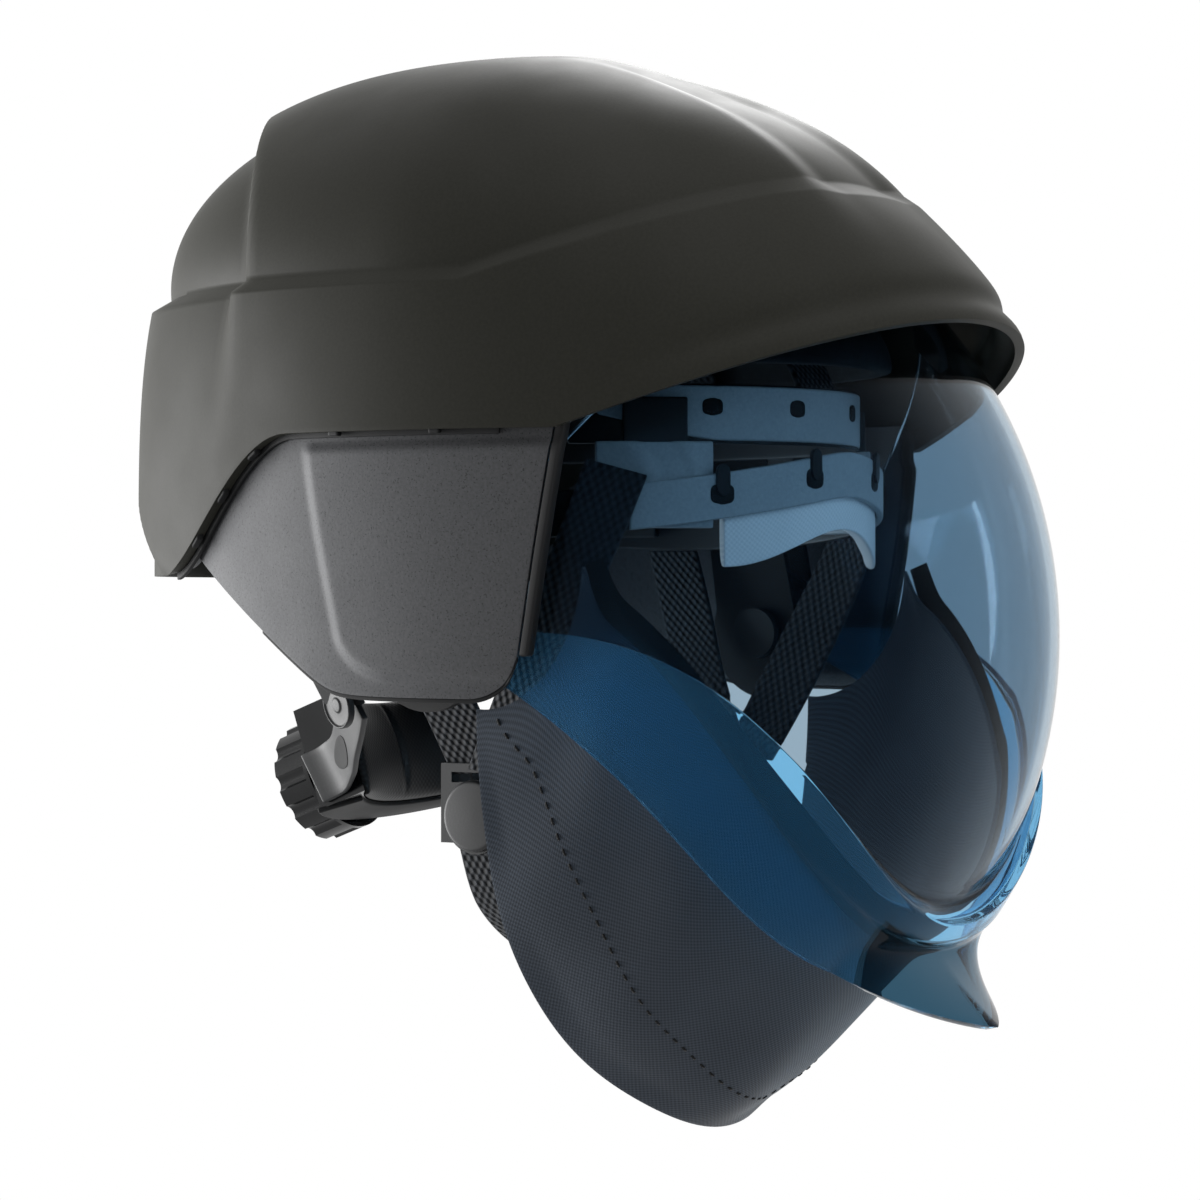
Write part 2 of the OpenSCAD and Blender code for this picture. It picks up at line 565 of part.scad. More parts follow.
// The housing is bent round the nape: half its width, and its outer radius
house_half_w = 34;
house_r = 60;
house_h = 32;
house_d = 14;
module ratchet_housing() {
    color("#1a1c1f")
        at_nape()
        difference() {
            union() {
                intersection() {
                    translate([0, house_d / 2 - house_r, -house_h / 2])
                        difference() {
                            cylinder(r = house_r, h = house_h, $fn = 96);
                            translate([0, 0, -1])
                                cylinder(r = house_r - house_d, h = house_h + 2, $fn = 96);
                        }
                    translate([-house_half_w, -30, -house_h])
                        cube([2 * house_half_w, 60, 2 * house_h]);
                }
                along_y(house_d / 2 - 4) cylinder(r = knob_r - 4, h = 6);
            }
            along_y(-house_d / 2 - 1) cylinder(r = 11, h = house_d - 3.5);
            along_y(-1) cylinder(r = knob_shaft_r + fit_gap, h = house_d);
        }
}
module ratchet_knob() {
    y = house_d / 2 + 2 + seat_gap;
    color("#101214")
        at_nape() {
            difference() {
                along_y(y) cylinder(r = knob_r, h = knob_h);
                for (k = [0 : 11])
                    rotate([0, k * 30, 0])
                        translate([knob_r + 1.6, 0, 0])
                        along_y(y + 1.5) cylinder(r = 3, h = knob_h);
            }
            along_y(-4) cylinder(r = knob_shaft_r, h = y + 4.5);
        }
}
module ratchet_pinion() {
    color("#5b6066")
        at_nape()
        difference() {
            union() {
                along_y(-4) cylinder(r = 7, h = 6);
                for (k = [0 : 9])
                    rotate([0, k * 36, 0])
                        translate([6, -4, -1.1])
                        cube([3.4, 6, 2.2]);
            }
            along_y(-5) cylinder(r = knob_shaft_r + 0.02, h = 8);
        }
}
module nape_pad() {
    us = range(16);
    vs = range(8);
    function pt(u, v, face) = let (
        a = mix(-38, 38, u), z = mix(-house_h / 2, house_h / 2, v),
        r = house_r - house_d - seat_gap - (face ? 1.5 + 6 * pow(sin(180 * u) * sin(180 * v), 0.45) : 0)
    ) [r * sin(a), house_d / 2 - house_r + r * cos(a), z];
    color("#26292d")
        at_nape()
        grid_solid([for (v = vs) [for (u = us) pt(u, v, true)]], [for (v = vs) [for (u = us) pt(u, v, false)]]);
}

// Chin strap
module strap(s, stations, widths, faces, n = 12) {
    ts = range(n);
    color("#2b2e33")
        mirror([s < 0 ? 1 : 0, 0, 0])
        ribbon([for (t = ts) spline(stations, t)], [for (t = ts) spline(widths, t)],
            [for (t = ts) spline(faces, t)], [for (t = ts) web_w], web_t);
}
// Half width of the headband at a place along it
function beside(y) = band_half_w * sqrt(1 - pow((y - band_back) / band_half_l, 2));
slider_x = band_half_w - 16;
slider_y = -10;
slider_z = -nape_drop - 11.5;
module front_strap(s) {
    strap(s, [[beside(-58) + 3.5, -58, 8], [beside(-50) + 4, -50, -16], [slider_x + 6.5, -34, -46],
        [slider_x + 3.6, slider_y - 7, slider_z + 16.4]],
        [[0.45, 1, 0.3], [0.2, 1, 0.5], [0, 1, 0.5], [0, 1, 0.1]],
        [[1, -0.45, 0], [1, -0.2, 0], [1, 0, -0.1], [1, 0, -0.1]]);
}
module rear_strap(s) {
    strap(s, [[beside(20) - 0.5, 20, band_mid(99) - band_h / 2 - 0.4], [slider_x + 11, 12, -34],
        [slider_x + 3.5, 1, -58], [slider_x + 1, slider_y + 3, slider_z + 16.4]],
        [[0, 1, 0], [0, 1, -0.3], [0, 1, -0.3], [0, 1, -0.1]],
        [[1, 0, 0], [1, 0, -0.1], [1, 0, -0.2], [1, 0, -0.2]]);
}
module strap_slider(s) {
    color("#3f4449")
        mirror([s < 0 ? 1 : 0, 0, 0])
        translate([slider_x, slider_y, slider_z])
        rotate([0, 90, 0])
        difference() {
            union() {
                cylinder(r = 11, h = 4.4);
                translate([-15, -13, 0])
                    cube([23, 26, 3.4]);
                cylinder(r = 8, h = 5.6);
            }
            translate([-12.5, -9.2, -1])
                cube([3, 18.4, 6]);
        }
}
chin_z = -135;
chin_y = -20;
buckle_w = 24;
module lower_strap(s) {
    strap(s, [[slider_x + 1.8, slider_y - 2, slider_z - 11.6], [slider_x - 4, slider_y - 4, slider_z - 26],
        [42, -16, chin_z + 4], [22.3, chin_y, chin_z]],
        [[0, 1, 0], [0, 1, 0], [0, 1, 0], [0, 1, 0]],
        [[1, 0, -0.25], [0.8, 0, -0.8], [0.35, 0, -1], [0.1, 0, -1]]);
}
// Side-release buckle: the tongue slides into the socket, the button frees it
button_r = 6.5;
module buckle_socket() {
    color("#202327")
        difference() {
            translate([-22, chin_y - buckle_w / 2, chin_z - 4.5])
                cube([28, buckle_w, 9]);
            translate([-14, chin_y - 9, chin_z - 2.5])
                cube([22, 18, 5]);
            translate([-4, chin_y, chin_z - 6])
                cylinder(r = button_r + fit_gap, h = 5);
        }
}
module buckle_tongue() {
    color("#2a2e33") {
        translate([6.4, chin_y - 11, chin_z - 3.5])
            cube([15.6, 22, 7]);
        translate([-11, chin_y - 7, chin_z - 0.4])
            cube([18, 14, 2.4]);
    }
}
module buckle_button() {
    color("#8b1f1a")
        translate([-4, chin_y, chin_z - 5.5])
        cylinder(r = button_r, h = 3);
}

outer_shell();
impact_liner();
side_cover(1);  // left_side_cover
side_cover(-1);  // right_side_cover
edge_seal(1);  // left_edge_seal
edge_seal(-1);  // right_edge_seal
frame_plate(1);  // left_frame_plate
frame_plate(-1);  // right_frame_plate
cradle_plate(1);  // left_cradle_plate
cradle_plate(-1);  // right_cradle_plate
pivot_pin(1);  // left_pivot_pin
pivot_pin(-1);  // right_pivot_pin
visor_hub(1);  // left_visor_hub
visor_hub(-1);  // right_visor_hub
visor();
visor_rivets();
visor_top_rail();
chin_cloth();
cloth_clip_rail();
cloth_seam();
cradle_band();
band_hangers();
crown_strap_long();
crown_strap_cross();
headband();
brow_pad();
adjuster_tail(1);  // left_adjuster_tail
adjuster_tail(-1);  // right_adjuster_tail
nape_hanger(1);  // left_nape_hanger
nape_hanger(-1);  // right_nape_hanger
nape_arm(1);  // left_nape_arm
nape_arm(-1);  // right_nape_arm
ratchet_housing();
nape_pad();
ratchet_knob();
ratchet_pinion();
front_strap(1);  // left_front_strap
front_strap(-1);  // right_front_strap
rear_strap(1);  // left_rear_strap
rear_strap(-1);  // right_rear_strap
strap_slider(1);  // left_strap_slider
strap_slider(-1);  // right_strap_slider
lower_strap(1);  // left_lower_strap
lower_strap(-1);  // right_lower_strap
buckle_socket();
buckle_tongue();
buckle_button();
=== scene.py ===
import math

import bpy
import numpy as np
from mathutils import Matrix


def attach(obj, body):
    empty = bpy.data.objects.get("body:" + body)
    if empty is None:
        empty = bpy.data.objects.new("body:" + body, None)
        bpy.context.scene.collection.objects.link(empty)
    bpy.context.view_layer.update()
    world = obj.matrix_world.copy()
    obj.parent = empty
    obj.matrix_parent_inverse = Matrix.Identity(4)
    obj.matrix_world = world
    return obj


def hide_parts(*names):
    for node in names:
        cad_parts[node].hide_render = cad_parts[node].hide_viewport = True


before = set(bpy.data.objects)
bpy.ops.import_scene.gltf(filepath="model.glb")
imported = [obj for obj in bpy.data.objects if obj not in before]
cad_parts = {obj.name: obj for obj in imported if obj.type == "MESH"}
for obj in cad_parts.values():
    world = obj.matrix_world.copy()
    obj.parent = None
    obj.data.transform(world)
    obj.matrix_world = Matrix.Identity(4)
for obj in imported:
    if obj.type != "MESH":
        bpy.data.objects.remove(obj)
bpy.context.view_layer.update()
scene = bpy.context.scene

# Sizes shared with the solids, in millimetres and degrees
SHELL_HALF_W, SHELL_REAR, PEAK_FRONT, SHELL_WALL = 112.0, 150.0, 139.0, 3.0
CROWN_Z, LEDGE_Z, BROW_Z = 136.0, 61.0, 88.7
RIM_FRONT_Z, RIM_SIDE_Z, RIM_REAR_Z = 50.0, 18.0, -22.0
LEDGE_STEP, REAR_STEP, PANEL_RISE, PANEL_BACK_RISE = 5.0, 6.4, 5.0, 2.5
VISOR_R, VISOR_HALF_W, VISOR_WALL, VISOR_BEND = 140.0, 100.2, 2.5, 2.22
VISOR_TOP, VISOR_LOW, VISOR_CLIMB = 50.0, 43.0, 20.0
CHIN_STEP, CHIN_LIP, LIP_TURN = 6.3, 26.5, 3.5
PIVOT_Y, PIVOT_Z = -10.0, -40.0
COVER_DROP, COVER_WALL, COVER_PANEL = 57.0, 2.5, 1.8
CLOTH_DROP, CLOTH_T = 184.0, 1.6
BAND_HALF_W, BAND_HALF_L, BAND_BACK, BAND_H, BAND_TILT, BAND_WALL = 80.0, 100.0, 5.0, 13.0, 15.0, 2.0
CRADLE_HALF_W, CRADLE_HALF_L = BAND_HALF_W - 7, BAND_HALF_L - 7
WEB_W, WEB_T = 18.0, 1.8
NAPE_BACK, NAPE_DROP, HOUSE_R, HOUSE_D = 84.0, 80.0, 60.0, 14.0
SEAT = 0.3
SIDES = ((1, "left"), (-1, "right"))


def mix(a, b, t):
    return a + (b - a) * t


def smooth(t):
    """Rises from 0 to 1 as t does, level at both ends."""
    t = np.clip(t, 0, 1)
    return t * t * (3 - 2 * t)


def sin(deg):
    return np.sin(np.radians(deg))


def cos(deg):
    return np.cos(np.radians(deg))


def stack(x, y, z):
    return np.stack(np.broadcast_arrays(x, y, z), axis=-1).astype(float)


def unit(v):
    v = np.asarray(v, dtype=float)
    return v / np.maximum(np.linalg.norm(v, axis=-1, keepdims=True), 1e-9)


# Meshes


def grid_faces(m, n, wrap=False, start=0):
    """Quads of an m by n grid whose rows climb and whose columns run anticlockwise."""
    i = np.arange(m - 1)[:, None]
    j = np.arange(n if wrap else n - 1)[None, :]
    k = (j + 1) % n
    quads = np.stack(np.broadcast_arrays(i * n + j, i * n + k, (i + 1) * n + k, (i + 1) * n + j), axis=-1)
    return (quads.reshape(-1, 4) + start).tolist()


def lengths(grid):
    """The distance in mm along the rows and up the columns of a grid, for its UV map."""
    along = np.zeros(grid.shape[:2])
    up = np.zeros(grid.shape[:2])
    along[:, 1:] = np.cumsum(np.linalg.norm(np.diff(grid, axis=1), axis=2), axis=1)
    up[1:] = np.cumsum(np.linalg.norm(np.diff(grid, axis=0), axis=2), axis=0)
    along -= along[:, -1:] / 2
    return np.stack([along, up], axis=-1).reshape(-1, 2)


def mesh_object(name, points, faces, uv, body, material, node=None):
    """A smooth shaded mesh from points in mm, with a UV map in mm.

    It rides on a body and may take a node's place."""
    me = bpy.data.meshes.new(name)
    me.from_pydata((np.asarray(points) * 0.001).tolist(), [], faces)
    me.shade_smooth()
    layer = me.uv_layers.new(name="length_mm")
    index = np.empty(len(me.loops), dtype=np.int32)
    me.loops.foreach_get("vertex_index", index)
    layer.data.foreach_set("uv", np.asarray(uv, dtype=np.float32)[index].ravel())
    me.materials.append(material)
    ob = bpy.data.objects.new(name, me)
    scene.collection.objects.link(ob)
    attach(ob, body)
    if node:
        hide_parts(node)
    return ob


def rounded(ob, width, angle=50):
    bevel = ob.modifiers.new("rounded edge", "BEVEL")
    bevel.width = width * 0.001
    bevel.segments = 3
    bevel.limit_method = "ANGLE"
    bevel.angle_limit = math.radians(angle)
    return ob


def sheet_object(name, grid, body, material, wall, node, wrap=False, cap=False, edge=0.0):
    """A grid of points given a wall inwards, with its free edges rounded."""
    m, n = grid.shape[:2]
    faces = grid_faces(m, n, wrap)
    points = grid.reshape(-1, 3)
    uv = lengths(grid)
    if cap:
        points = np.vstack([points, grid[-1].mean(axis=0)])
        uv = np.vstack([uv, uv[-1]])
        faces += [[(m - 1) * n + j, (m - 1) * n + (j + 1) % n, m * n] for j in range(n)]
    ob = mesh_object(name, points, faces, uv, body, material, node)
    solid = ob.modifiers.new("wall", "SOLIDIFY")
    solid.thickness = wall * 0.001
    solid.offset = -1
    return rounded(ob, edge, 60) if edge else ob


def closed_object(name, pairs, body, material, node, wrap=False, edge=0.0):
    """Closed solids, each between two matching grids, the first of a pair facing outwards."""
    points, faces, uvs = [], [], []
    for outer, inner in pairs:
        m, n = outer.shape[:2]
        base, size = sum(len(p) for p in points), m * n
        front = grid_faces(m, n, wrap, base)
        faces += front + [[f[0] + size, f[3] + size, f[2] + size, f[1] + size] for f in front]
        for j in range(n if wrap else n - 1):
            a, b = base + j, base + (j + 1) % n
            faces.append([a, a + size, b + size, b])
            a, b = a + (m - 1) * n, b + (m - 1) * n
            faces.append([a, b, b + size, a + size])
        for i in range(0 if wrap else m - 1):
            a, b = base + i * n, base + (i + 1) * n
            faces.append([a, b, b + size, a + size])
            a, b = a + n - 1, b + n - 1
            faces.append([a, a + size, b + size, b])
        points += [outer.reshape(-1, 3), inner.reshape(-1, 3)]
        uvs += [lengths(outer), lengths(outer)]
    ob = mesh_object(name, np.vstack(points), faces, np.vstack(uvs), body, material, node)
    return rounded(ob, edge) if edge else ob


def turned(name, profile, centre, axis, body, material, node=None, n=64):
    """A solid turned about an axis through centre.

    profile gives radius and height, from the foot's middle out, up and back in."""
    axis = unit(axis)
    side = unit(np.cross(axis, [0.0, 1.0, 0.0] if abs(axis[1]) < 0.9 else [1.0, 0.0, 0.0]))
    other = np.cross(axis, side)
    turn = np.arange(n) * 360 / n
    rings = []
    for r, h in profile:
        rings.append(side * (r * cos(turn))[:, None] + other * (r * sin(turn))[:, None] + axis * h)
    grid = np.array(rings) + np.asarray(centre, dtype=float)
    m = len(profile)
    points = np.vstack([grid.reshape(-1, 3), grid[0].mean(axis=0), grid[-1].mean(axis=0)])
    faces = grid_faces(m, n, True)
    last = (m - 1) * n
    faces += [[(j + 1) % n, j, m * n] for j in range(n)]
    faces += [[last + j, last + (j + 1) % n, m * n + 1] for j in range(n)]
    uv = np.vstack([lengths(grid), [[0, 0], [0, 0]]])
    return rounded(mesh_object(name, points, faces, uv, body, material, node), 0.4, 40)


def normals(grid):
    """Unit normals of a grid, outwards, from the differences of its neighbours."""
    return unit(np.cross(np.gradient(grid, axis=1), np.gradient(grid, axis=0)))


def mirrored(grid, side):
    """The grid for the wearer's left, or its mirror image with columns turned round for the right."""
    return grid if side > 0 else grid[:, ::-1] * np.array([-1.0, 1.0, 1.0])


# Materials


def linear(code):
    """An sRGB hex colour as linear red, green, blue and alpha."""
    c = np.array([int(code[i : i + 2], 16) for i in (0, 2, 4)]) / 255
    c = np.where(c <= 0.04045, c / 12.92, ((c + 0.055) / 1.055) ** 2.4)
    return (*c.tolist(), 1.0)


def add(owner, kind, settings=None, **links):
    """Adds a node. A setting goes to the socket of its name or number, or else to the node itself.

    Links name sockets, or i and a number."""
    node = owner.node_tree.nodes.new(kind)
    for key, value in (settings or {}).items():
        if isinstance(key, int) or key in node.inputs:
            node.inputs[key].default_value = value
        else:
            setattr(node, key, value)
    for key, source in links.items():
        place = int(key[1:]) if key[0] == "i" and key[1:].isdigit() else key.replace("_", " ")
        owner.node_tree.links.new(source, node.inputs[place])
    return node


def new_material(name):
    mat = bpy.data.materials.new(name)
    mat.use_nodes = True
    mat.node_tree.nodes.clear()
    return mat


def moulded(name, dark, light, roughness, grain_mm, height_mm, spread=0.06, speck=None, **sockets):
    """Moulded plastic: grain_mm is the spacing of its texture and height_mm its depth.

    spread is how far the roughness wanders, and speck a colour of fine dots."""
    mat = new_material(name)
    place = add(mat, "ShaderNodeTexCoord").outputs["Object"]
    texture = {"Scale": 1000 / grain_mm, "Detail": 3.0}
    grain = add(mat, "ShaderNodeTexNoise", texture, Vector=place).outputs["Fac"]
    wide = add(mat, "ShaderNodeTexNoise", {"Scale": 28.0, "Detail": 4.0}, Vector=place).outputs["Fac"]
    bump = add(mat, "ShaderNodeBump", {"Strength": 1.0, "Distance": height_mm * 0.001}, Height=grain)
    rough = add(
        mat, "ShaderNodeMapRange",
        {"From Min": 0.3, "From Max": 0.7, "To Min": roughness - spread, "To Max": roughness + spread},
        Value=wide,
    )
    share = add(mat, "ShaderNodeMapRange", {"From Min": 0.3, "From Max": 0.7}, Value=grain).outputs[0]
    tones = {"data_type": "RGBA", 6: linear(dark), 7: linear(light)}
    colour = add(mat, "ShaderNodeMix", tones, i0=share).outputs[2]
    if speck:
        dots = add(mat, "ShaderNodeTexNoise", {"Scale": 1600.0, "Detail": 1.0}, Vector=place).outputs["Fac"]
        where = add(mat, "ShaderNodeMapRange", {"From Min": 0.63, "From Max": 0.7}, Value=dots).outputs[0]
        dotted = {"data_type": "RGBA", 7: linear(speck)}
        colour = add(mat, "ShaderNodeMix", dotted, i0=where, i6=colour).outputs[2]
    skin = add(
        mat, "ShaderNodeBsdfPrincipled",
        {"IOR": 1.5, **{key.replace("_", " "): value for key, value in sockets.items()}},
        Base_Color=colour, Roughness=rough.outputs["Result"], Normal=bump.outputs["Normal"],
    )
    add(mat, "ShaderNodeOutputMaterial", None, Surface=skin.outputs["BSDF"])
    return mat


def woven(name, dark, light, across_mm, along_mm, height_mm, roughness=0.85, sheen=0.25):
    """Plain weave on the mm UV map: warp and weft are sine ridges.

    Their product is high where one lies on top of the other."""
    mat = new_material(name)
    uv = add(mat, "ShaderNodeUVMap", {"uv_map": "length_mm"}).outputs["UV"]
    split = add(mat, "ShaderNodeSeparateXYZ", None, Vector=uv)
    waves = []
    for axis, pitch in (("X", along_mm), ("Y", across_mm)):
        per_thread = {"operation": "MULTIPLY", 1: math.pi / pitch}
        turn = add(mat, "ShaderNodeMath", per_thread, i0=split.outputs[axis])
        waves.append(add(mat, "ShaderNodeMath", {"operation": "SINE"}, i0=turn.outputs[0]).outputs[0])
    cross = add(mat, "ShaderNodeMath", {"operation": "MULTIPLY"}, i0=waves[0], i1=waves[1]).outputs[0]
    ridge = add(mat, "ShaderNodeMath", {"operation": "MULTIPLY_ADD", 1: 0.5, 2: 0.5}, i0=cross).outputs[0]
    place = add(mat, "ShaderNodeTexCoord").outputs["Object"]
    wide = add(mat, "ShaderNodeTexNoise", {"Scale": 60.0, "Detail": 5.0}, Vector=place).outputs["Fac"]
    shade = add(mat, "ShaderNodeMath", {"operation": "MULTIPLY_ADD", 1: 0.35}, i0=wide, i2=ridge).outputs[0]
    share = add(mat, "ShaderNodeMapRange", {"From Min": 0.25, "From Max": 1.1}, Value=shade).outputs[0]
    tones = {"data_type": "RGBA", 6: linear(dark), 7: linear(light)}
    colour = add(mat, "ShaderNodeMix", tones, i0=share).outputs[2]
    bump = add(mat, "ShaderNodeBump", {"Strength": 0.9, "Distance": height_mm * 0.001}, Height=ridge)
    skin = add(
        mat, "ShaderNodeBsdfPrincipled",
        {
            "Roughness": roughness, "IOR": 1.45, "Specular IOR Level": 0.3,
            "Sheen Weight": sheen, "Sheen Roughness": 0.35,
        },
        Base_Color=colour, Normal=bump.outputs["Normal"],
    )
    add(mat, "ShaderNodeOutputMaterial", None, Surface=skin.outputs["BSDF"])
    return mat


def clear_polycarbonate(name, tint, clear, lamp_tint):
    """Tinted polycarbonate, polished: it mirrors the lamps and dims what is behind it.

    clear below 1 gives it a milky haze of its tint. Lamps reach through it as they do through thin sheet.
    Its real index is 1.58. A lower one and tinted reflections keep the window clear in the white room."""
    mat = new_material(name)
    place = add(mat, "ShaderNodeTexCoord").outputs["Object"]
    ripple = add(mat, "ShaderNodeTexNoise", {"Scale": 9.0, "Detail": 1.0}, Vector=place).outputs["Fac"]
    bump = add(mat, "ShaderNodeBump", {"Strength": 0.25, "Distance": 0.0006}, Height=ripple)
    glass = add(
        mat, "ShaderNodeBsdfPrincipled",
        {
            "Base Color": linear(tint), "Roughness": 0.03, "IOR": 1.25, "Transmission Weight": clear,
            "Specular Tint": linear("3c5c7a"),
        },
        Normal=bump.outputs["Normal"],
    )
    lamp = add(mat, "ShaderNodeBsdfTransparent", {"Color": linear(lamp_tint)})
    rays = add(mat, "ShaderNodeLightPath").outputs["Is Shadow Ray"]
    both = add(mat, "ShaderNodeMixShader", None, Fac=rays, i1=glass.outputs["BSDF"], i2=lamp.outputs["BSDF"])
    add(mat, "ShaderNodeOutputMaterial", None, Surface=both.outputs["Shader"])
    return mat


# Glass-filled nylon shell, painted a satin olive charcoal: broad soft highlights
SHELL = moulded("painted_nylon_shell", "2b2b26", "30302b", 0.55, 0.9, 0.012, 0.05, Specular_IOR_Level=0.14)
# Spark-eroded grain on the side covers: matt, with dark specks in the grey
COVER = moulded(
    "grained_pa_cover", "4e4f51", "5c5d60", 0.62, 0.8, 0.05, 0.04, "343537", Specular_IOR_Level=0.3,
)
# EPDM lip, matt black
RUBBER = moulded("epdm_rubber", "0a0b0c", "101113", 0.65, 0.5, 0.02, Specular_IOR_Level=0.25)
# Expanded foam, near black, beaded
FOAM = moulded("expanded_foam", "0e1014", "181b21", 0.9, 3.0, 0.25)
# Injection moulded nylon, near black
NYLON = moulded("moulded_nylon", "101214", "17191c", 0.5, 0.6, 0.02, Specular_IOR_Level=0.35)
# Pale grey polyethylene of the bands, waxy
BAND = moulded("polyethylene_band", "9aa3a9", "abb3b8", 0.38, 0.9, 0.015)
# Dark grey acetal arms and sliders
ACETAL = moulded("acetal_arm", "17181a", "1e2022", 0.5, 0.7, 0.015, Specular_IOR_Level=0.35)
# Glossy black polyamide housing
GLOSS = moulded("gloss_polyamide", "08090b", "0f1113", 0.2, 0.9, 0.008, 0.04, Specular_IOR_Level=0.3)
# Red acetal button
BUTTON = moulded("acetal_button", "7d1f1b", "8f2722", 0.4, 0.7, 0.015)
# Aramid cloth, dark blue grey, a fine plain weave drawn a little coarse so that it shows
CLOTH = woven("aramid_cloth", "2a3038", "444c57", 0.75, 0.75, 0.08, 0.85, 0.6)
# Spun thread, black
THREAD = woven("spun_thread", "050606", "101112", 0.5, 0.5, 0.1)
# Polyester webbing, thick twisted ribs across it
WEBBING = woven("polyester_webbing", "0e1012", "383b40", 1.9, 1.3, 0.7, 0.8, 0.1)
# Brushed knit over the brow pad, off white
BROW = woven("brushed_knit", "e9eef2", "ffffff", 0.8, 0.8, 0.08, 0.9, 0.4)
# Coated knit over the nape pad, black, a little shiny
NAPE = woven("coated_knit", "08090b", "15171a", 0.9, 0.9, 0.06, 0.45, 0.0)
# Zinc plated steel, dulled
STEEL = moulded("plated_steel", "9da1a5", "b5b8bb", 0.32, 0.4, 0.01, Metallic=1.0)
# The window is a clear grey blue, the guard below the step a deeper hazy blue, and the thick lip darker still
CLEAR = clear_polycarbonate("window_polycarbonate", "93abbc", 1.0, "e6f0f6")
GUARD = clear_polycarbonate("guard_polycarbonate", "78b9e0", 0.94, "cdeeff")
LIP = clear_polycarbonate("lip_polycarbonate", "34566a", 0.97, "9dc0d6")

# Outer shell

DOME_HALF_W, DOME_REAR, DOME_FRONT = SHELL_HALF_W - 13, SHELL_REAR - 9.2, PEAK_FRONT - 26.2
DOME_TOP, CROWN_BACK = CROWN_Z - 5.5, 13.8


def fold(a):
    return np.minimum(a, 360 - a)


def ledge_at(f):
    return LEDGE_Z + (BROW_Z - LEDGE_Z) * cos(np.minimum(90, f * 1.2))


def rim_at(f):
    front = RIM_SIDE_Z + (RIM_FRONT_Z - RIM_SIDE_Z) * cos(f * 90 / 64)
    return np.where(f < 64, front, mix(RIM_SIDE_Z, RIM_REAR_Z, smooth((f - 100) / 27)))


def panel_share(x, y):
    """Share of the crown panels' rise.

    It is 0 behind the chevron at the back and in the channel at the front."""
    channel = (1 - smooth((np.abs(x) - 14) / 13)) * smooth((-y - 6) / 50)
    return smooth((121 - 0.7 * np.abs(x) - y) / 9) * (1 - channel) * (1 - 0.44 * smooth(-y / 60))


def dome(a, el):
    """An oval dome: half width 99, half lengths 113 to the front and 141 to the back.

    The panels' rise is added along its normal."""
    c, s, h = cos(el), sin(el), DOME_TOP - LEDGE_Z
    length = np.where(cos(a) > 0, DOME_FRONT, DOME_REAR)
    x = DOME_HALF_W * c * sin(a)
    y = CROWN_BACK * s - length * c * cos(a)
    rise = (PANEL_RISE + PANEL_BACK_RISE * smooth(y / 80)) * panel_share(x, y)
    normal = unit(stack(sin(a) * c / DOME_HALF_W, -cos(a) * c / length, s / h))
    return stack(x, y, LEDGE_Z + h * s) + normal * rise[..., None]


def ledge_el(f):
    return np.degrees(np.arcsin(np.clip((ledge_at(f) + 2 - LEDGE_Z) / (DOME_TOP - LEDGE_Z), 0, 1)))


def skirt(a, v):
    """From the ledge, v = 0, to the rim, v = 1.

    It drops straight at the sides, flares to a peak at the front and is tucked in at the nape."""
    f = fold(a)
    out = stack(sin(a), -cos(a), 0 * a)
    top = dome(a, ledge_el(f))
    step = mix(LEDGE_STEP * mix(0.6, 1, smooth((f - 20) / 60)), REAR_STEP, smooth((f - 110) / 50))
    step = step + PANEL_RISE * (1 - panel_share(top[..., 0], top[..., 1])) * (f < 90)
    high = top + out * step[..., None] - [0, 0, 3.5]
    low = stack(SHELL_HALF_W * sin(a), -np.where(cos(a) > 0, PEAK_FRONT, SHELL_REAR) * cos(a), rim_at(f))
    bow = 1 - (1 - v) ** mix(1.34, mix(2.5, 4, smooth((f - 110) / 50)), smooth((f - 25) / 45))
    z = mix(high[..., 2], low[..., 2], v)
    nape_line = mix(-18, 2, smooth((f - 124) / 26))
    tuck = 5 * smooth((nape_line - z) / 14) * smooth((f - 122) / 6)
    # The peak is hollowed a little above its rim, so that its edge reads as a turned-out lip
    hollow = 2.4 * np.exp(-(((v - 0.8) / 0.1) ** 2)) * smooth((62 - f) / 25)
    flat = stack(mix(high[..., 0], low[..., 0], bow), mix(high[..., 1], low[..., 1], bow), z)
    return flat - out * (tuck + hollow)[..., None]


angle = np.arange(288) * 1.25
rows = np.concatenate([1 - np.linspace(0, 1, 40)[:-1] ** 0.9, [0.02, 0.0]])
up = np.linspace(0, 0.985, 80)
crown_el = mix(ledge_el(fold(angle))[None, :], 90, up[:, None])
shell_grid = np.vstack([skirt(*np.meshgrid(angle, rows)), dome(angle[None, :], crown_el)])
sheet_object(
    "shell_skin", shell_grid, "helmet", SHELL, SHELL_WALL, "outer_shell",
    wrap=True, cap=True, edge=0.7,
)


LINER_HALF_W, LINER_HALF_L, LINER_HIGH = 76.0, 108.0, 42.0
LINER_FOOT_Z, LINER_BACK, LINER_WALL = 38.0, 8.0, 6.0


def liner(a, el):
    """A plain oval dome inside the shell."""
    across, along = LINER_HALF_W * cos(el) * sin(a), LINER_BACK - LINER_HALF_L * cos(el) * cos(a)
    return stack(across, along, LINER_FOOT_Z + LINER_HIGH * sin(el))


foam_grid = liner(*np.meshgrid(np.arange(0, 360, 5.0), np.linspace(0, 86, 30)))
sheet_object("foam_liner", foam_grid, "helmet", FOAM, LINER_WALL, "impact_liner", True, True, 1.5)

# Side covers and their rubber edges

COVER_HALF_W, COVER_REAR, COVER_AHEAD = (w - SHELL_WALL - 0.1 for w in (SHELL_HALF_W, SHELL_REAR, PEAK_FRONT))
COVER_FRONT, COVER_BACK = 69.5, 130.0
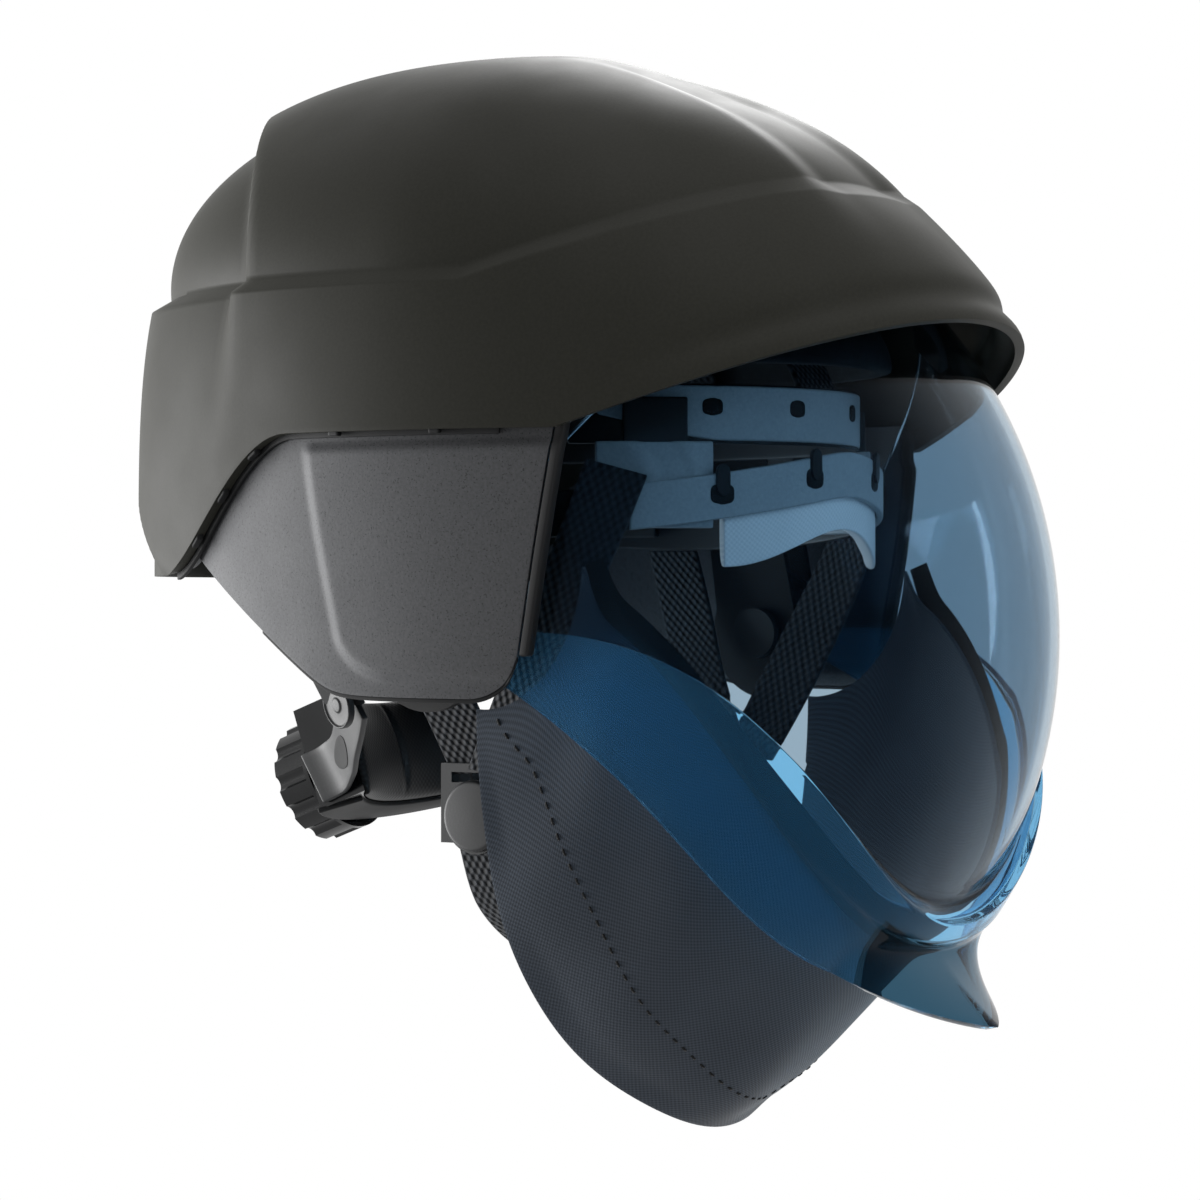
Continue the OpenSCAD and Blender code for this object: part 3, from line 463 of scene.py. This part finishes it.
# Radius of the foot's front corner, climb of the foot in mm per degree behind COVER_BEND degrees,
# lean of the front edge in degrees per mm, and width of the border below and behind the raised panel
COVER_CORNER, COVER_CLIMB, COVER_BEND, COVER_LEAN, PANEL_BORDER = 12.0, 1.57, 96.0, 0.075, 14.0


def cover(u, v, inset=0.0):
    """An upright oval wall, with a raised panel that ends at a ridge.

    u runs from its slanted front edge to the back, v from its rounded foot to the tuck under the shell."""
    f0 = mix(COVER_FRONT, COVER_BACK, u)
    corner = np.clip(1 - (f0 - COVER_FRONT) / 6, 0, 1)
    beyond = f0 - COVER_BEND
    climb = COVER_CLIMB * (beyond + np.sqrt(beyond**2 + 9)) / 2
    foot = -COVER_DROP + COVER_CORNER * (1 - np.sqrt(1 - corner**2)) + climb
    rim = rim_at(f0)
    z = mix(np.minimum(rim + 2, foot), rim + 8, v)
    f = f0 - COVER_LEAN * (z + 50) * (1 - u)
    behind = np.maximum(0, PANEL_BORDER - 1.85 * (98.6 + COVER_LEAN * z - f))
    under = np.maximum(0, PANEL_BORDER - (z + COVER_DROP - 4))
    panel = COVER_PANEL * smooth((PANEL_BORDER - np.hypot(behind, under)) / 4)
    d = inset + 3 * smooth(-z / COVER_DROP) - panel * smooth((rim - 2 - z) / 4) + COVER_PANEL
    return stack((COVER_HALF_W - d) * sin(f), -(np.where(f < 90, COVER_AHEAD, COVER_REAR) - d) * cos(f), z)


cover_u, cover_v = np.meshgrid(np.linspace(0, 1, 150), np.linspace(0, 1, 90))
for side, word in SIDES:
    pair = (mirrored(cover(cover_u, cover_v), side), mirrored(cover(cover_u, cover_v, COVER_WALL), side))
    closed_object(
        word + "_cover_skin", [pair], "helmet", COVER, word + "_side_cover", edge=0.7,
    )
    edge = cover(0 * cover_v[::3, :1], cover_v[::3, :1])
    outer = np.concatenate([edge - [0, 3.2 + SEAT, 0], edge - [0, SEAT, 0]], axis=1)
    pair = (mirrored(outer, side), mirrored(outer - [3.6, 0, 0], side))
    closed_object(
        word + "_rubber_edge", [pair], "helmet", RUBBER, word + "_edge_seal", edge=0.9,
    )
    # The rubber goes on round the foot of the cover as a thin bead
    foot = cover(cover_u[:1, :96], 0 * cover_u[:1, :96], 0.4)
    bead = np.concatenate([foot - [0, 0, 1.2], foot], axis=0)
    pair = (mirrored(bead, side), mirrored(bead - unit(foot * [1, 1, 0]) * 1.8, side))
    closed_object(word + "_foot_bead", [pair], "helmet", RUBBER, None, edge=0.4)

# Visor

POWER, FLAT = 2 / VISOR_BEND, VISOR_HALF_W - 6.2


def visor_x(al, w):
    """Half width where the surface turns by al from the middle, running out into flat discs at the pivots."""
    x = w * np.abs(sin(al)) ** POWER
    flat = w - VISOR_HALF_W + FLAT
    bend = flat - 1.5
    return np.sign(al) * np.where(x < bend, x, flat - 1.5 * np.exp((bend - np.maximum(x, bend)) / 1.5))


def about_pivot(x, r, ph):
    return stack(x, PIVOT_Y - r * cos(ph), PIVOT_Z + r * sin(ph))


def low_at(al):
    return -VISOR_LOW + VISOR_CLIMB * sin(al) ** 4


def visor_surface(al, ph, inset=0.0):
    """A superellipse of power 2.22 turned about the pivot axis.

    Below a rising line it steps out, a second crease follows, and the chin edge flares into a pointed lip."""
    step = CHIN_STEP * smooth((-33 + 38 * sin(al) ** 2 - ph) / 1.6 + 0.5) * smooth((76 - np.abs(al)) / 12)
    crease = 1.2 * smooth((-37 + 24 * sin(al) ** 2 - ph) / 0.8 + 0.5) * smooth((70 - np.abs(al)) / 12)
    share = np.clip(1 - np.abs(al) / 19, 0, 1) ** 0.8 * np.clip((-ph - 38) / (VISOR_LOW - 38), 0, 1) ** 1.4
    r = (VISOR_R - inset) * np.maximum(0, cos(al)) ** POWER + step - crease * (1 - share) + CHIN_LIP * share
    rise = LIP_TURN * share - (1.1 * share**0.3 if inset else 0)
    return about_pivot(visor_x(al, VISOR_HALF_W - inset), r, ph + rise)


visor_al = np.linspace(-87, 87, 233)[None, :]
line = np.maximum(-33 + 38 * sin(visor_al) ** 2, low_at(visor_al) + 2)
visor_ph = np.vstack(
    [mix(low_at(visor_al), line - 0.9, np.linspace(0, 1, 46)[:, None] ** 0.8),
     mix(line - 0.6, line + 0.6, np.linspace(0, 1, 5)[:, None]),
     mix(line + 0.9, VISOR_TOP, np.linspace(0, 1, 60)[:, None])]
)
visor_al = np.broadcast_to(visor_al, visor_ph.shape)
pair = (visor_surface(visor_al, visor_ph), visor_surface(visor_al, visor_ph, VISOR_WALL))
shield = closed_object("visor_shell", [pair], "visor", CLEAR, "visor", edge=0.5)
shield.data.materials.append(GUARD)
shield.data.materials.append(LIP)
quad_rows, quad_cols = (np.arange(k - 1) for k in visor_ph.shape)
row, col = (k.ravel() for k in np.meshgrid(quad_rows, quad_cols, indexing="ij"))
zone = (row < 48).astype(np.int32) + ((row < 30) & (np.abs(visor_al[row, col]) < 17))
index = np.zeros(len(shield.data.polygons), dtype=np.int32)
index[: 2 * len(zone)] = np.concatenate([zone, zone])
index[2 * len(zone) :] = 1
shield.data.polygons.foreach_set("material_index", index)

# Chin cloth, its clip rail and its line of stitches


def visor_in(x, d):
    share = np.abs(x) / (VISOR_HALF_W - d)
    return (VISOR_R - d) * np.maximum(0, 1 - share**VISOR_BEND) ** (1 / VISOR_BEND)


CLIP_IN = VISOR_WALL + 3 * SEAT
CLOTH_IN = VISOR_WALL + 4 * SEAT + 1.8


def cloth_top(t):
    k = sin(73 * cos(t)) ** 2
    return visor_x(73 * cos(t), VISOR_HALF_W - CLOTH_IN), -35 + 33 * k + 40 * k**5


def cloth(t, v, d=CLOTH_IN):
    """From the top edge on the visor's inner face, v = 0, round under the chin to the hem, v = 1.

    t runs over half a turn from side to side."""
    x0, ph0 = cloth_top(t)
    x1, fall = 89 * cos(t), np.maximum(0, sin(t))
    dy, dz = -26 - 28 * fall**5 - PIVOT_Y, -60 - (CLOTH_DROP - 59) * fall - PIVOT_Z
    r1 = np.hypot(dy, dz)
    x, ph = mix(x0, x1, v), mix(ph0, -np.degrees(np.arccos(-dy / r1)), v)
    free = smooth((-VISOR_LOW - 1.5 - ph) / 30)
    r = mix(visor_in(x0, d), r1, v)
    r = mix(np.minimum(r, visor_in(x, d)), r + 1.5 * sin(180 * v), free)
    return about_pivot(x, r, ph)


cloth_t, cloth_v = np.meshgrid(np.linspace(180, 0, 241), np.linspace(1, 0, 110))
cloth_grid = cloth(cloth_t, cloth_v)
# Shallow slack folds below the visor, radiating from the two ends of the top edge
from_side = np.minimum(cloth_t, 180 - cloth_t)
slack = smooth((cloth_v - 0.3) / 0.4) * smooth((1 - cloth_v) / 0.12 + 0.35) * smooth(from_side / 25)
folds = 0.8 * np.sin(np.radians(cloth_t * 13 + 70 * cloth_v))
folds = folds + 0.6 * np.sin(np.radians(cloth_t * 7.3 - 160 * cloth_v + 40))
cloth_grid = cloth_grid - normals(cloth_grid) * (slack * (1.4 + folds))[..., None]
bib = sheet_object("chin_cloth_sheet", cloth_grid, "visor", CLOTH, CLOTH_T, "chin_cloth", edge=0.5)

# Stitches along a line in from the hem: the length of one and the spacing in mm
STITCH, STITCH_PITCH = 2.1, 4.6
seam_t = np.linspace(180, 0, 4001)
q = 1 - np.abs(seam_t - 90) / 90
seam_v = 0.74 + 0.12 * q**3 + 0.13 * smooth((0.13 - q) / 0.15)
rows_at = (1 - seam_v) * (cloth_grid.shape[0] - 1)
cols_at = (180 - seam_t) / 180 * (cloth_grid.shape[1] - 1)


def sample(grid, i, j):
    """Bilinear value of a grid at row i, column j."""
    a, b = np.minimum(i.astype(int), grid.shape[0] - 2), np.minimum(j.astype(int), grid.shape[1] - 2)
    s, t = (i - a)[:, None], (j - b)[:, None]
    return mix(mix(grid[a, b], grid[a, b + 1], t), mix(grid[a + 1, b], grid[a + 1, b + 1], t), s)


seam, seam_n = sample(cloth_grid, rows_at, cols_at), sample(normals(cloth_grid), rows_at, cols_at)
run = np.concatenate([[0], np.cumsum(np.linalg.norm(np.diff(seam, axis=0), axis=1))])
dashes = []
for start in np.arange(3, run[-1] - 4, STITCH_PITCH):
    at = start + STITCH * np.array([0, 1, 3, 5, 6]) / 6
    mid, n = (np.stack([np.interp(at, run, p[:, k]) for k in range(3)], axis=-1) for p in (seam, seam_n))
    across = unit(np.cross(n, np.gradient(mid, axis=0))) * 0.32
    lift = np.array([0.05, 0.3, 0.36, 0.3, 0.05])[:, None]
    outer = np.stack([mid - across + n * lift, mid + across + n * lift])
    dashes.append((outer, np.stack([mid - across - n * 0.2, mid + across - n * 0.2])))
closed_object("cloth_stitches", dashes, "visor", THREAD, "cloth_seam")

clip_t, clip_down = np.meshgrid(np.linspace(180, 0, 121), [5.0, 3.7, 1.2, 0.0])
clip_x, clip_ph = cloth_top(clip_t)
clip = [about_pivot(clip_x, visor_in(clip_x, d), clip_ph - clip_down) for d in (CLIP_IN, CLIP_IN + 1.8)]
closed_object("cloth_clip_strip", [clip], "visor", RUBBER, "cloth_clip_rail", edge=0.4)
rail_al, rail_ph = np.meshgrid(87 / 22 * np.linspace(-8, 8, 49), [43.0, 44.0, 48.0, 49.0])
rail = []
for d in (CLIP_IN, CLIP_IN + 3):
    r = (VISOR_R - d) * cos(rail_al) ** POWER
    rail.append(about_pivot(visor_x(rail_al, VISOR_HALF_W - d), r, rail_ph))
closed_object("visor_top_strip", [rail], "visor", RUBBER, "visor_top_rail", edge=0.6)

# Harness: bands, pads and straps


def oval(a, w, l, z):
    return stack(w * sin(a), BAND_BACK - l * cos(a), z)


def band_mid(a):
    return 8.4 - BAND_TILT * np.sqrt(sin(a) ** 2 + 0.01)


def foot_z(a):
    return band_mid(a) - BAND_H / 2


def top_z(a):
    return band_mid(a) + BAND_H / 2


def level(z):
    """An edge that stays at one height."""
    return lambda a: z + 0 * a


def cradle_foot(a):
    """The front of the cradle band is deeper in the middle."""
    return 16 + 9 * smooth((np.abs(a) - 30) / 36)


def temple_ribs(middle):
    """Shallow slanted ribs, fading out 9 degrees to each side of the middle."""
    def rise(a, v):
        rib = smooth(np.cos(np.radians((a * 0.9 + v * 9) * 40)) * 2 - 0.6)
        return 0.6 * rib * smooth((9 - np.abs(a - middle)) / 3)
    return rise


def arc(name, a0, a1, half, z0, z1, out, into, body, material, node=None, edge=0.5, shape=None):
    """An upright arc on an oval, half its half axes.

    z0 and z1 give the lower and upper edge at each angle, out and into how far it stands out of the oval
    and reaches into it, and shape adds to out."""
    a, v = np.meshgrid(np.linspace(a0, a1, max(9, int(abs(a1 - a0) * 1.5))), np.linspace(0, 1, 13))
    z = mix(z0(a), z1(a), v)
    rise = out + (shape(a, v) if shape else 0)
    pair = (oval(a, half[0] + rise, half[1] + rise, z), oval(a, half[0] - into, half[1] - into, z))
    return closed_object(name, [pair], body, material, node, edge=edge)


def spot(name, a, z, width, height, half, out, material):
    """A thin plate with round ends on the outside of an oval band, a degrees from the front.

    Its rows climb and shrink to the ends."""
    v = np.linspace(-1, 1, 13)[:, None]
    wide = np.sqrt(np.maximum(0.02, 1 - np.abs(v) ** 4))
    turn = a + np.linspace(-1, 1, 13)[None, :] * wide * np.degrees(width / 2 / half[1])
    rows = z + height / 2 * v + 0 * turn
    pair = (oval(turn, half[0] + out, half[1] + out, rows), oval(turn, half[0] - 0.3, half[1] - 0.3, rows))
    return closed_object(name, [pair], "helmet", material, None, edge=0.15)


HEAD, CRADLE = (BAND_HALF_W, BAND_HALF_L), (CRADLE_HALF_W, CRADLE_HALF_L)
BETWEEN, HANGER_T = (BAND_HALF_W - 2.6, BAND_HALF_L - 2.6), 3.6
# Hangers between the bands: middle and half width in degrees, lower and upper edge in mm, and plastic.
# The pale ribbed one at the temple narrows to a dark strut, and the others are dark
HANGERS = ((45, 11, -9, 15.5, BAND), (45, 6, 15, 28, NYLON), (70, 4, -9, 28, NYLON), (105, 4, -9, 28, NYLON))
arc("headband_front", -50, 50, HEAD, foot_z, top_z, 0, BAND_WALL, "helmet", BAND, "headband")
for side, word in SIDES:
    arc(
        word + "_headband_side", side * 80 - 30, side * 80 + 30, HEAD, foot_z, top_z, -0.05, BAND_WALL,
        "helmet", NYLON, "headband",
    )
    for a, half_a, low, high, plastic in HANGERS:
        ribs = temple_ribs(side * a) if plastic is BAND else None
        arc(
            f"{word}_hanger_{a}_{high:.0f}", side * a - half_a, side * a + half_a, BETWEEN,
            level(low), level(high), 0, HANGER_T,
            "helmet", plastic, "band_hangers", 0.6, ribs,
        )
    # Dark slots and clips of the front of the bands
    for a in (12, 33):
        z = float(band_mid(a))
        spot(f"{word}_band_slot_{a}", side * a, z + 0.5, 8, 6, HEAD, 0.25, RUBBER)
        spot(f"{word}_band_clip_{a}", side * a, z + 4.5, 4.5, 9, HEAD, 1.1, NYLON)
        spot(f"{word}_cradle_slot_{a}", side * a, 25.5, 7, 5, CRADLE, 0.35, RUBBER)
arc(
    "cradle_front", -66, 66, CRADLE, cradle_foot, level(31.5), 0.05, BAND_WALL,
    "helmet", BAND, "cradle_band",
)
arc(
    "cradle_round", -172, 172, CRADLE, level(15), level(32), -0.4, BAND_WALL,
    "helmet", NYLON, "cradle_band",
)


def brow(v, a, face):
    """Brow pad: crowned across its height, thinner towards its ends, its lower edge scooped in the middle.

    face gives the side against the forehead."""
    u = (a + 32) / 64
    puff = 6 * np.sqrt(np.maximum(0, 1 - (2 * v - 1) ** 4)) * (0.4 + 0.6 * sin(180 * u))
    wave = 0.25 * np.sin(np.radians(a * 22)) * np.sin(np.radians(v * 540)) * sin(180 * u)
    d = BAND_WALL + 0.4 + (1 + puff + wave if face else 0)
    low = -20 + 11 * sin(180 * u) ** 2
    return oval(a, BAND_HALF_W - d, BAND_HALF_L - d, mix(low, top_z(a) - 2, v))


pad_a, pad_v = np.meshgrid(np.linspace(-32, 32, 90), np.linspace(0, 1, 40))
cushion = [brow(pad_v, pad_a, face) for face in (False, True)]
pad = closed_object("brow_cushion", [cushion], "helmet", BROW, "brow_pad", edge=0.5)


def at_nape(x, y, z):
    """Points of the housing's own frame, which leans back by 20 degrees."""
    return stack(x, NAPE_BACK + y * cos(20) + z * sin(20), -NAPE_DROP - y * sin(20) + z * cos(20))


def nape(a, z, r):
    return at_nape(r * sin(a), HOUSE_D / 2 - HOUSE_R + r * cos(a), z)


nape_u, nape_v = np.meshgrid(np.linspace(0, 1, 81), np.linspace(0, 1, 41))
nape_a, nape_z = mix(38, -38, nape_u), mix(-16, 16, nape_v)
puff = 1.5 + 6 * (sin(180 * nape_u) * sin(180 * nape_v)).clip(0) ** 0.45
# A crease over the middle, as on a cushion stitched in two halves
puff = puff - 1.3 * np.exp(-((nape_u - 0.5) / 0.02) ** 2) * sin(180 * nape_v)
pad_r = HOUSE_R - HOUSE_D - SEAT
cushion = [nape(nape_a, nape_z, pad_r - rise) for rise in (0, puff)]
pad = closed_object("nape_cushion", [cushion], "rear_cradle", NAPE, "nape_pad", edge=0.5)
flange_a, flange_z = np.meshgrid(np.linspace(36, -36, 61), [-17.2, -15.5])
flange = [nape(flange_a, flange_z, r) for r in (HOUSE_R + 0.8, HOUSE_R - HOUSE_D + 0.6)]
closed_object("housing_lower_flange", [flange], "rear_cradle", RUBBER, None, edge=0.5)


def spline(p, t):
    """The curve through the given points, at each t from 0 to 1."""
    p = np.asarray(p, dtype=float)
    n = len(p) - 1
    s = np.clip(t, 0, 1) * n
    i = np.minimum(n - 1, np.floor(s)).astype(int)
    u = (s - i)[:, None]
    a, b, c, d = p[np.maximum(0, i - 1)], p[i], p[i + 1], p[np.minimum(n, i + 2)]
    return 0.5 * (2 * b + (c - a) * u + (2 * a - 5 * b + 4 * c - d) * u**2 + (3 * b - a - 3 * c + d) * u**3)


def ribbon(name, path, across, face, width, thick, body, material, node, side=1, steps=9):
    """A strip of the given width and thickness along a path, its face turned to face."""
    across, face = unit(across), unit(face)
    share = np.linspace(-0.5, 0.5, steps)[None, :, None]
    mid = path[:, None, :] + across[:, None, :] * share * np.asarray(width).reshape(-1, 1, 1)
    off = face[:, None, :] * thick / 2
    pair = [mid + off, mid - off]
    if np.einsum("ij,ij->i", np.cross(across[:-1], np.diff(path, axis=0)), face[:-1]).sum() < 0:
        pair = [g[:, ::-1] for g in pair]
    grids = [mirrored(g, side) for g in pair]
    return closed_object(name, [grids], body, material, node, edge=min(0.5, thick * 0.3))


CROWN_WEB_W, CROWN_WEB_T, CROWN_FOOT_Z = 20.0, 1.4, 22.0
turn = np.linspace(180, 0, 91)
for across, word, half, top in ((0, "long", 88.94, 64), (1, "cross", 69.39, 66)):
    reach = half * cos(turn)
    z = CROWN_FOOT_Z + (top - CROWN_FOOT_Z) * np.maximum(0, sin(turn)) ** 0.8
    path = stack(reach, BAND_BACK, z) if across else stack(0, BAND_BACK + reach, z)
    out = stack(cos(turn), 0, sin(turn) + 0.02) if across else stack(0, cos(turn), sin(turn) + 0.02)
    wide = np.broadcast_to([0.0, 1.0, 0.0] if across else [-1.0, 0.0, 0.0], path.shape)
    ribbon(
        "crown_webbing_" + word, path, wide, out, CROWN_WEB_W, CROWN_WEB_T,
        "helmet", WEBBING, "crown_strap_" + word,
    )


def beside(y):
    return BAND_HALF_W * math.sqrt(1 - ((y - BAND_BACK) / BAND_HALF_L) ** 2)


def strap(name, stations, across, face, node, side):
    t = np.linspace(0, 1, 60)
    path, wide, out = (spline(p, t) for p in (stations, across, face))
    return ribbon(name, path, wide, out, WEB_W, WEB_T, "helmet", WEBBING, node, side)


# Middle line of the arms from the hanger to the housing, and the way their faces turn
ARM = [
    [59.8, 41, -58], [53.9, 47, -64], [47.4, 54, -70.5],
    [40.3, 61, -76.5], [35.3, 69, -81], [35.3, 77, -84.5],
]
ARM_FACE = [[1, k, -0.5 * k] for k in (0.5, 0.5, 0.45, 0.3, 0.0, 0.0)]
ARM_W, ARM_T, ARM_HOLE = 15.0, 2.0, 8.5
ARM_DISC = [(0.5, 0), (7.2, 0), (7.2, 2.0), (6.7, 2.4), (6.2, 1.7), (2.4, 1.7), (2.0, 2.2), (0.5, 2.2)]
SLIDER_DISC = [(0.5, 0), (10.4, 0), (10.4, 1.2), (9.8, 1.9), (9.0, 2.0), (0.5, 2.2)]
for side, word in SIDES:
    strap(
        word + "_front_webbing",
        [[beside(-58) + 3.5, -58, 8], [beside(-50) + 4, -50, -16], [70.5, -34, -46], [67.4, -16, -79]],
        [[0.45, 1, 0.3], [0.2, 1, 0.5], [0, 1, 0.5], [0, 1, 0.1]],
        [[1, -0.45, 0], [1, -0.2, 0], [1, 0, -0.1], [1, 0, -0.1]], word + "_front_strap", side,
    )
    strap(
        word + "_rear_webbing",
        [[beside(20) - 0.5, 20, float(band_mid(99)) - 6.9], [75, 12, -34], [67.5, 1, -58], [65.2, -9, -79]],
        [[0, 1, 0], [0, 1, -0.3], [0, 1, -0.3], [0, 1, -0.1]],
        [[1, 0, 0], [1, 0, -0.1], [1, 0, -0.2], [1, 0, -0.2]], word + "_rear_strap", side,
    )
    strap(
        word + "_lower_webbing",
        [[66, -11.6, -99], [60, -14, -117.5], [42, -16, -131], [22.3, -20, -135]],
        [[0, 1, 0]] * 4,
        [[1, 0, -0.25], [0.8, 0, -0.8], [0.35, 0, -1], [0.1, 0, -1]], word + "_lower_strap", side,
    )
    t = np.linspace(0, 1, 50)
    path, face = spline(ARM, t), unit(spline(ARM_FACE, t))
    wide = np.broadcast_to([0.0, 0.5, 0.8], path.shape)
    ribbon(
        word + "_arm_plate", path, wide, face, ARM_W + 2 * smooth((t - 0.6) / 0.2), ARM_T,
        "rear_cradle", ACETAL, word + "_nape_arm", side,
    )
    # Rounded diamond hole, drawn as a dark sunk plate: painted shade in place of the dark space seen through
    # it
    t = np.linspace(0.42, 0.72, 21)
    path, face = spline(ARM, t), unit(spline(ARM_FACE, t))
    size = ARM_HOLE * np.sqrt(np.maximum(0.01, 1 - np.abs((t - 0.57) / 0.15) ** 1.6))
    ribbon(
        word + "_arm_hole_shade", path + face * 0.95, wide[:21], face, size, 0.5,
        "rear_cradle", RUBBER, None, side,
    )
    flip = np.array([side, 1, 1])
    axis = unit([1, 0.35, -0.2])
    centre = np.array([62.2, 43.0, -60.0]) + axis * 1.0
    turned(
        word + "_arm_disc", ARM_DISC, centre * flip, axis * flip,
        "rear_cradle", ACETAL, None,
    )
    centre = np.array([68.2, -10, -91.5])
    turned(
        word + "_slider_disc", SLIDER_DISC, centre * flip, np.array([side, 0, 0]),
        "helmet", NYLON, None,
    )


def rim_strip(name, f, above, depths, side, edge):
    """A strip along the rim at the angles f.

    above gives how high its rows stand over the rim, depths how far in from the skin its two faces lie."""
    pair = []
    for d in depths:
        length = np.where(f < 90, PEAK_FRONT, SHELL_REAR) - d
        grid = stack((SHELL_HALF_W - d) * sin(f), -length * cos(f), rim_at(f) + np.array(above)[:, None])
        pair.append(mirrored(grid, side))
    closed_object(name, [pair], "helmet", RUBBER, None, edge=edge)


for side, word in SIDES:
    # Small dark clips under the rim
    for k, a in enumerate((79, 93, 106, 112, 118)):
        f = np.linspace(a - 0.7, a + 0.7, 5)[None, :]
        rim_strip(f"{word}_rim_clip_{k}", f, (-1.2, -0.4, 0.8), (0.5, 2.6), side, 0.4)
    # A black strip as painted shade in the gap where the cover goes up inside the shell
    f = np.linspace(71, 126, 80)[None, :]
    rim_strip(f"{word}_rim_shade_strip", f, (-1.5, 0.0, 1.5), (3.3, 4.6), side, 0.3)

# Finishes of the solids that show as they are


def dress(material, width, *nodes):
    for name in nodes:
        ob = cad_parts[name]
        for slot in ob.material_slots:
            slot.material = material
        rounded(ob, width)


def both(*words):
    return [f"{side}_{word}" for word in words for side in ("left", "right")]


dress(RUBBER, 0.6, *both("frame_plate", "cradle_plate", "visor_hub"))
dress(NYLON, 0.6, "buckle_socket", "buckle_tongue")
dress(NYLON, 0.3, *both("pivot_pin"), "visor_rivets")
dress(STEEL, 0.3, "ratchet_pinion")
dress(NYLON, 0.4, *both("adjuster_tail"))
dress(ACETAL, 0.6, *both("nape_hanger"))
dress(NYLON, 0.8, *both("strap_slider"))
dress(GLOSS, 1.0, "ratchet_housing", "ratchet_knob")
dress(BUTTON, 0.6, "buckle_button")

# Camera, floor and light

# Fitted to the photograph: the camera's aim in m, the way to it, its distance in m and its lens in mm
aim = np.array([2.85, -4.07, -29.3]) * 0.001
toward, distance, lens = np.array([-0.8192, -0.5736, 0.0]), 1.15, 113.5
camera_data = bpy.data.cameras.new("camera")
camera_data.sensor_fit = "HORIZONTAL"
camera_data.sensor_width = 36.0
camera_data.lens = lens
camera = bpy.data.objects.new("camera", camera_data)
scene.collection.objects.link(camera)
camera.location = (aim + toward * distance).tolist()
camera.rotation_euler = (math.pi / 2, 0, math.atan2(toward[1], toward[0]) + math.pi / 2)
scene.camera = camera


def area_lamp(name, place, size, power):
    """A round lamp turned to the middle of the object; the function returns it."""
    data = bpy.data.lights.new(name, "AREA")
    data.shape, data.size, data.energy = "DISK", size, power
    ob = bpy.data.objects.new(name, data)
    scene.collection.objects.link(ob)
    ob.location = place
    way = -np.array(place)
    tilt = math.acos(-way[2] / np.linalg.norm(way))
    ob.rotation_euler = (tilt, 0, math.atan2(way[1], way[0]) - math.pi / 2)
    return ob


area_lamp("rear_key", (-0.5, 1.45, -0.2), 1.1, 38)
area_lamp("high_soft", (-0.5, -0.3, 1.6), 1.3, 4)
# Soft fill, kept out of reflections so that its disc isn't mirrored in the visor
area_lamp("front_fill", (-0.2, -1.5, 0.6), 1.0, 7).visible_glossy = False
area_lamp("far_rim", (1.3, 0.65, 1.0), 0.6, 15)

# A pale disc well below the object, as a photographer's table


def to_the_eye(owner):
    """1 for rays that the camera sees, straight, mirrored or through glass, and 0 for light on things."""
    rays = add(owner, "ShaderNodeLightPath").outputs
    seen = rays["Is Camera Ray"]
    for kind in ("Is Glossy Ray", "Is Transmission Ray"):
        seen = add(owner, "ShaderNodeMath", {"operation": "MAXIMUM"}, i0=seen, i1=rays[kind]).outputs[0]
    return seen


ring_a = np.arange(48) * 7.5
table_mesh = bpy.data.meshes.new("table_top")
table_mesh.from_pydata(stack(0.6 * cos(ring_a), 0.6 * sin(ring_a), -0.45).tolist(), [], [list(range(48))])
table_top = bpy.data.objects.new("table_top", table_mesh)
paper = new_material("pale_paper")
skin = add(paper, "ShaderNodeBsdfPrincipled", {"Base Color": linear("e6e6e6"), "Roughness": 0.8})
# To the eye it is mostly white paper, as the world behind is, with a part left for the shadow.
# From below it isn't there
white = add(paper, "ShaderNodeEmission", {"Color": linear("ffffff")})
eye = add(paper, "ShaderNodeMath", {"operation": "MULTIPLY", 1: 0.85}, i0=to_the_eye(paper))
above = add(
    paper, "ShaderNodeMixShader", None,
    Fac=eye.outputs[0], i1=skin.outputs["BSDF"], i2=white.outputs["Emission"],
)
below = add(paper, "ShaderNodeBsdfTransparent")
under = add(paper, "ShaderNodeNewGeometry").outputs["Backfacing"]
either = add(
    paper, "ShaderNodeMixShader", None, Fac=under, i1=above.outputs["Shader"], i2=below.outputs["BSDF"],
)
add(paper, "ShaderNodeOutputMaterial", None, Surface=either.outputs["Shader"])
table_mesh.materials.append(paper)
scene.collection.objects.link(table_top)

# The world is white where the eye meets it, straight, mirrored or through the visor, and dimmer as a lamp
world = bpy.data.worlds.new("studio")
scene.world = world
world.use_nodes = True
world.node_tree.nodes.clear()
strength = {"To Min": 0.16, "To Max": 1.0}
glow = add(world, "ShaderNodeMapRange", strength, Value=to_the_eye(world)).outputs["Result"]
back = add(world, "ShaderNodeBackground", {"Color": linear("ffffff")}, Strength=glow)
add(world, "ShaderNodeOutputWorld", None, Surface=back.outputs["Background"])
scene.view_settings.view_transform = "Standard"
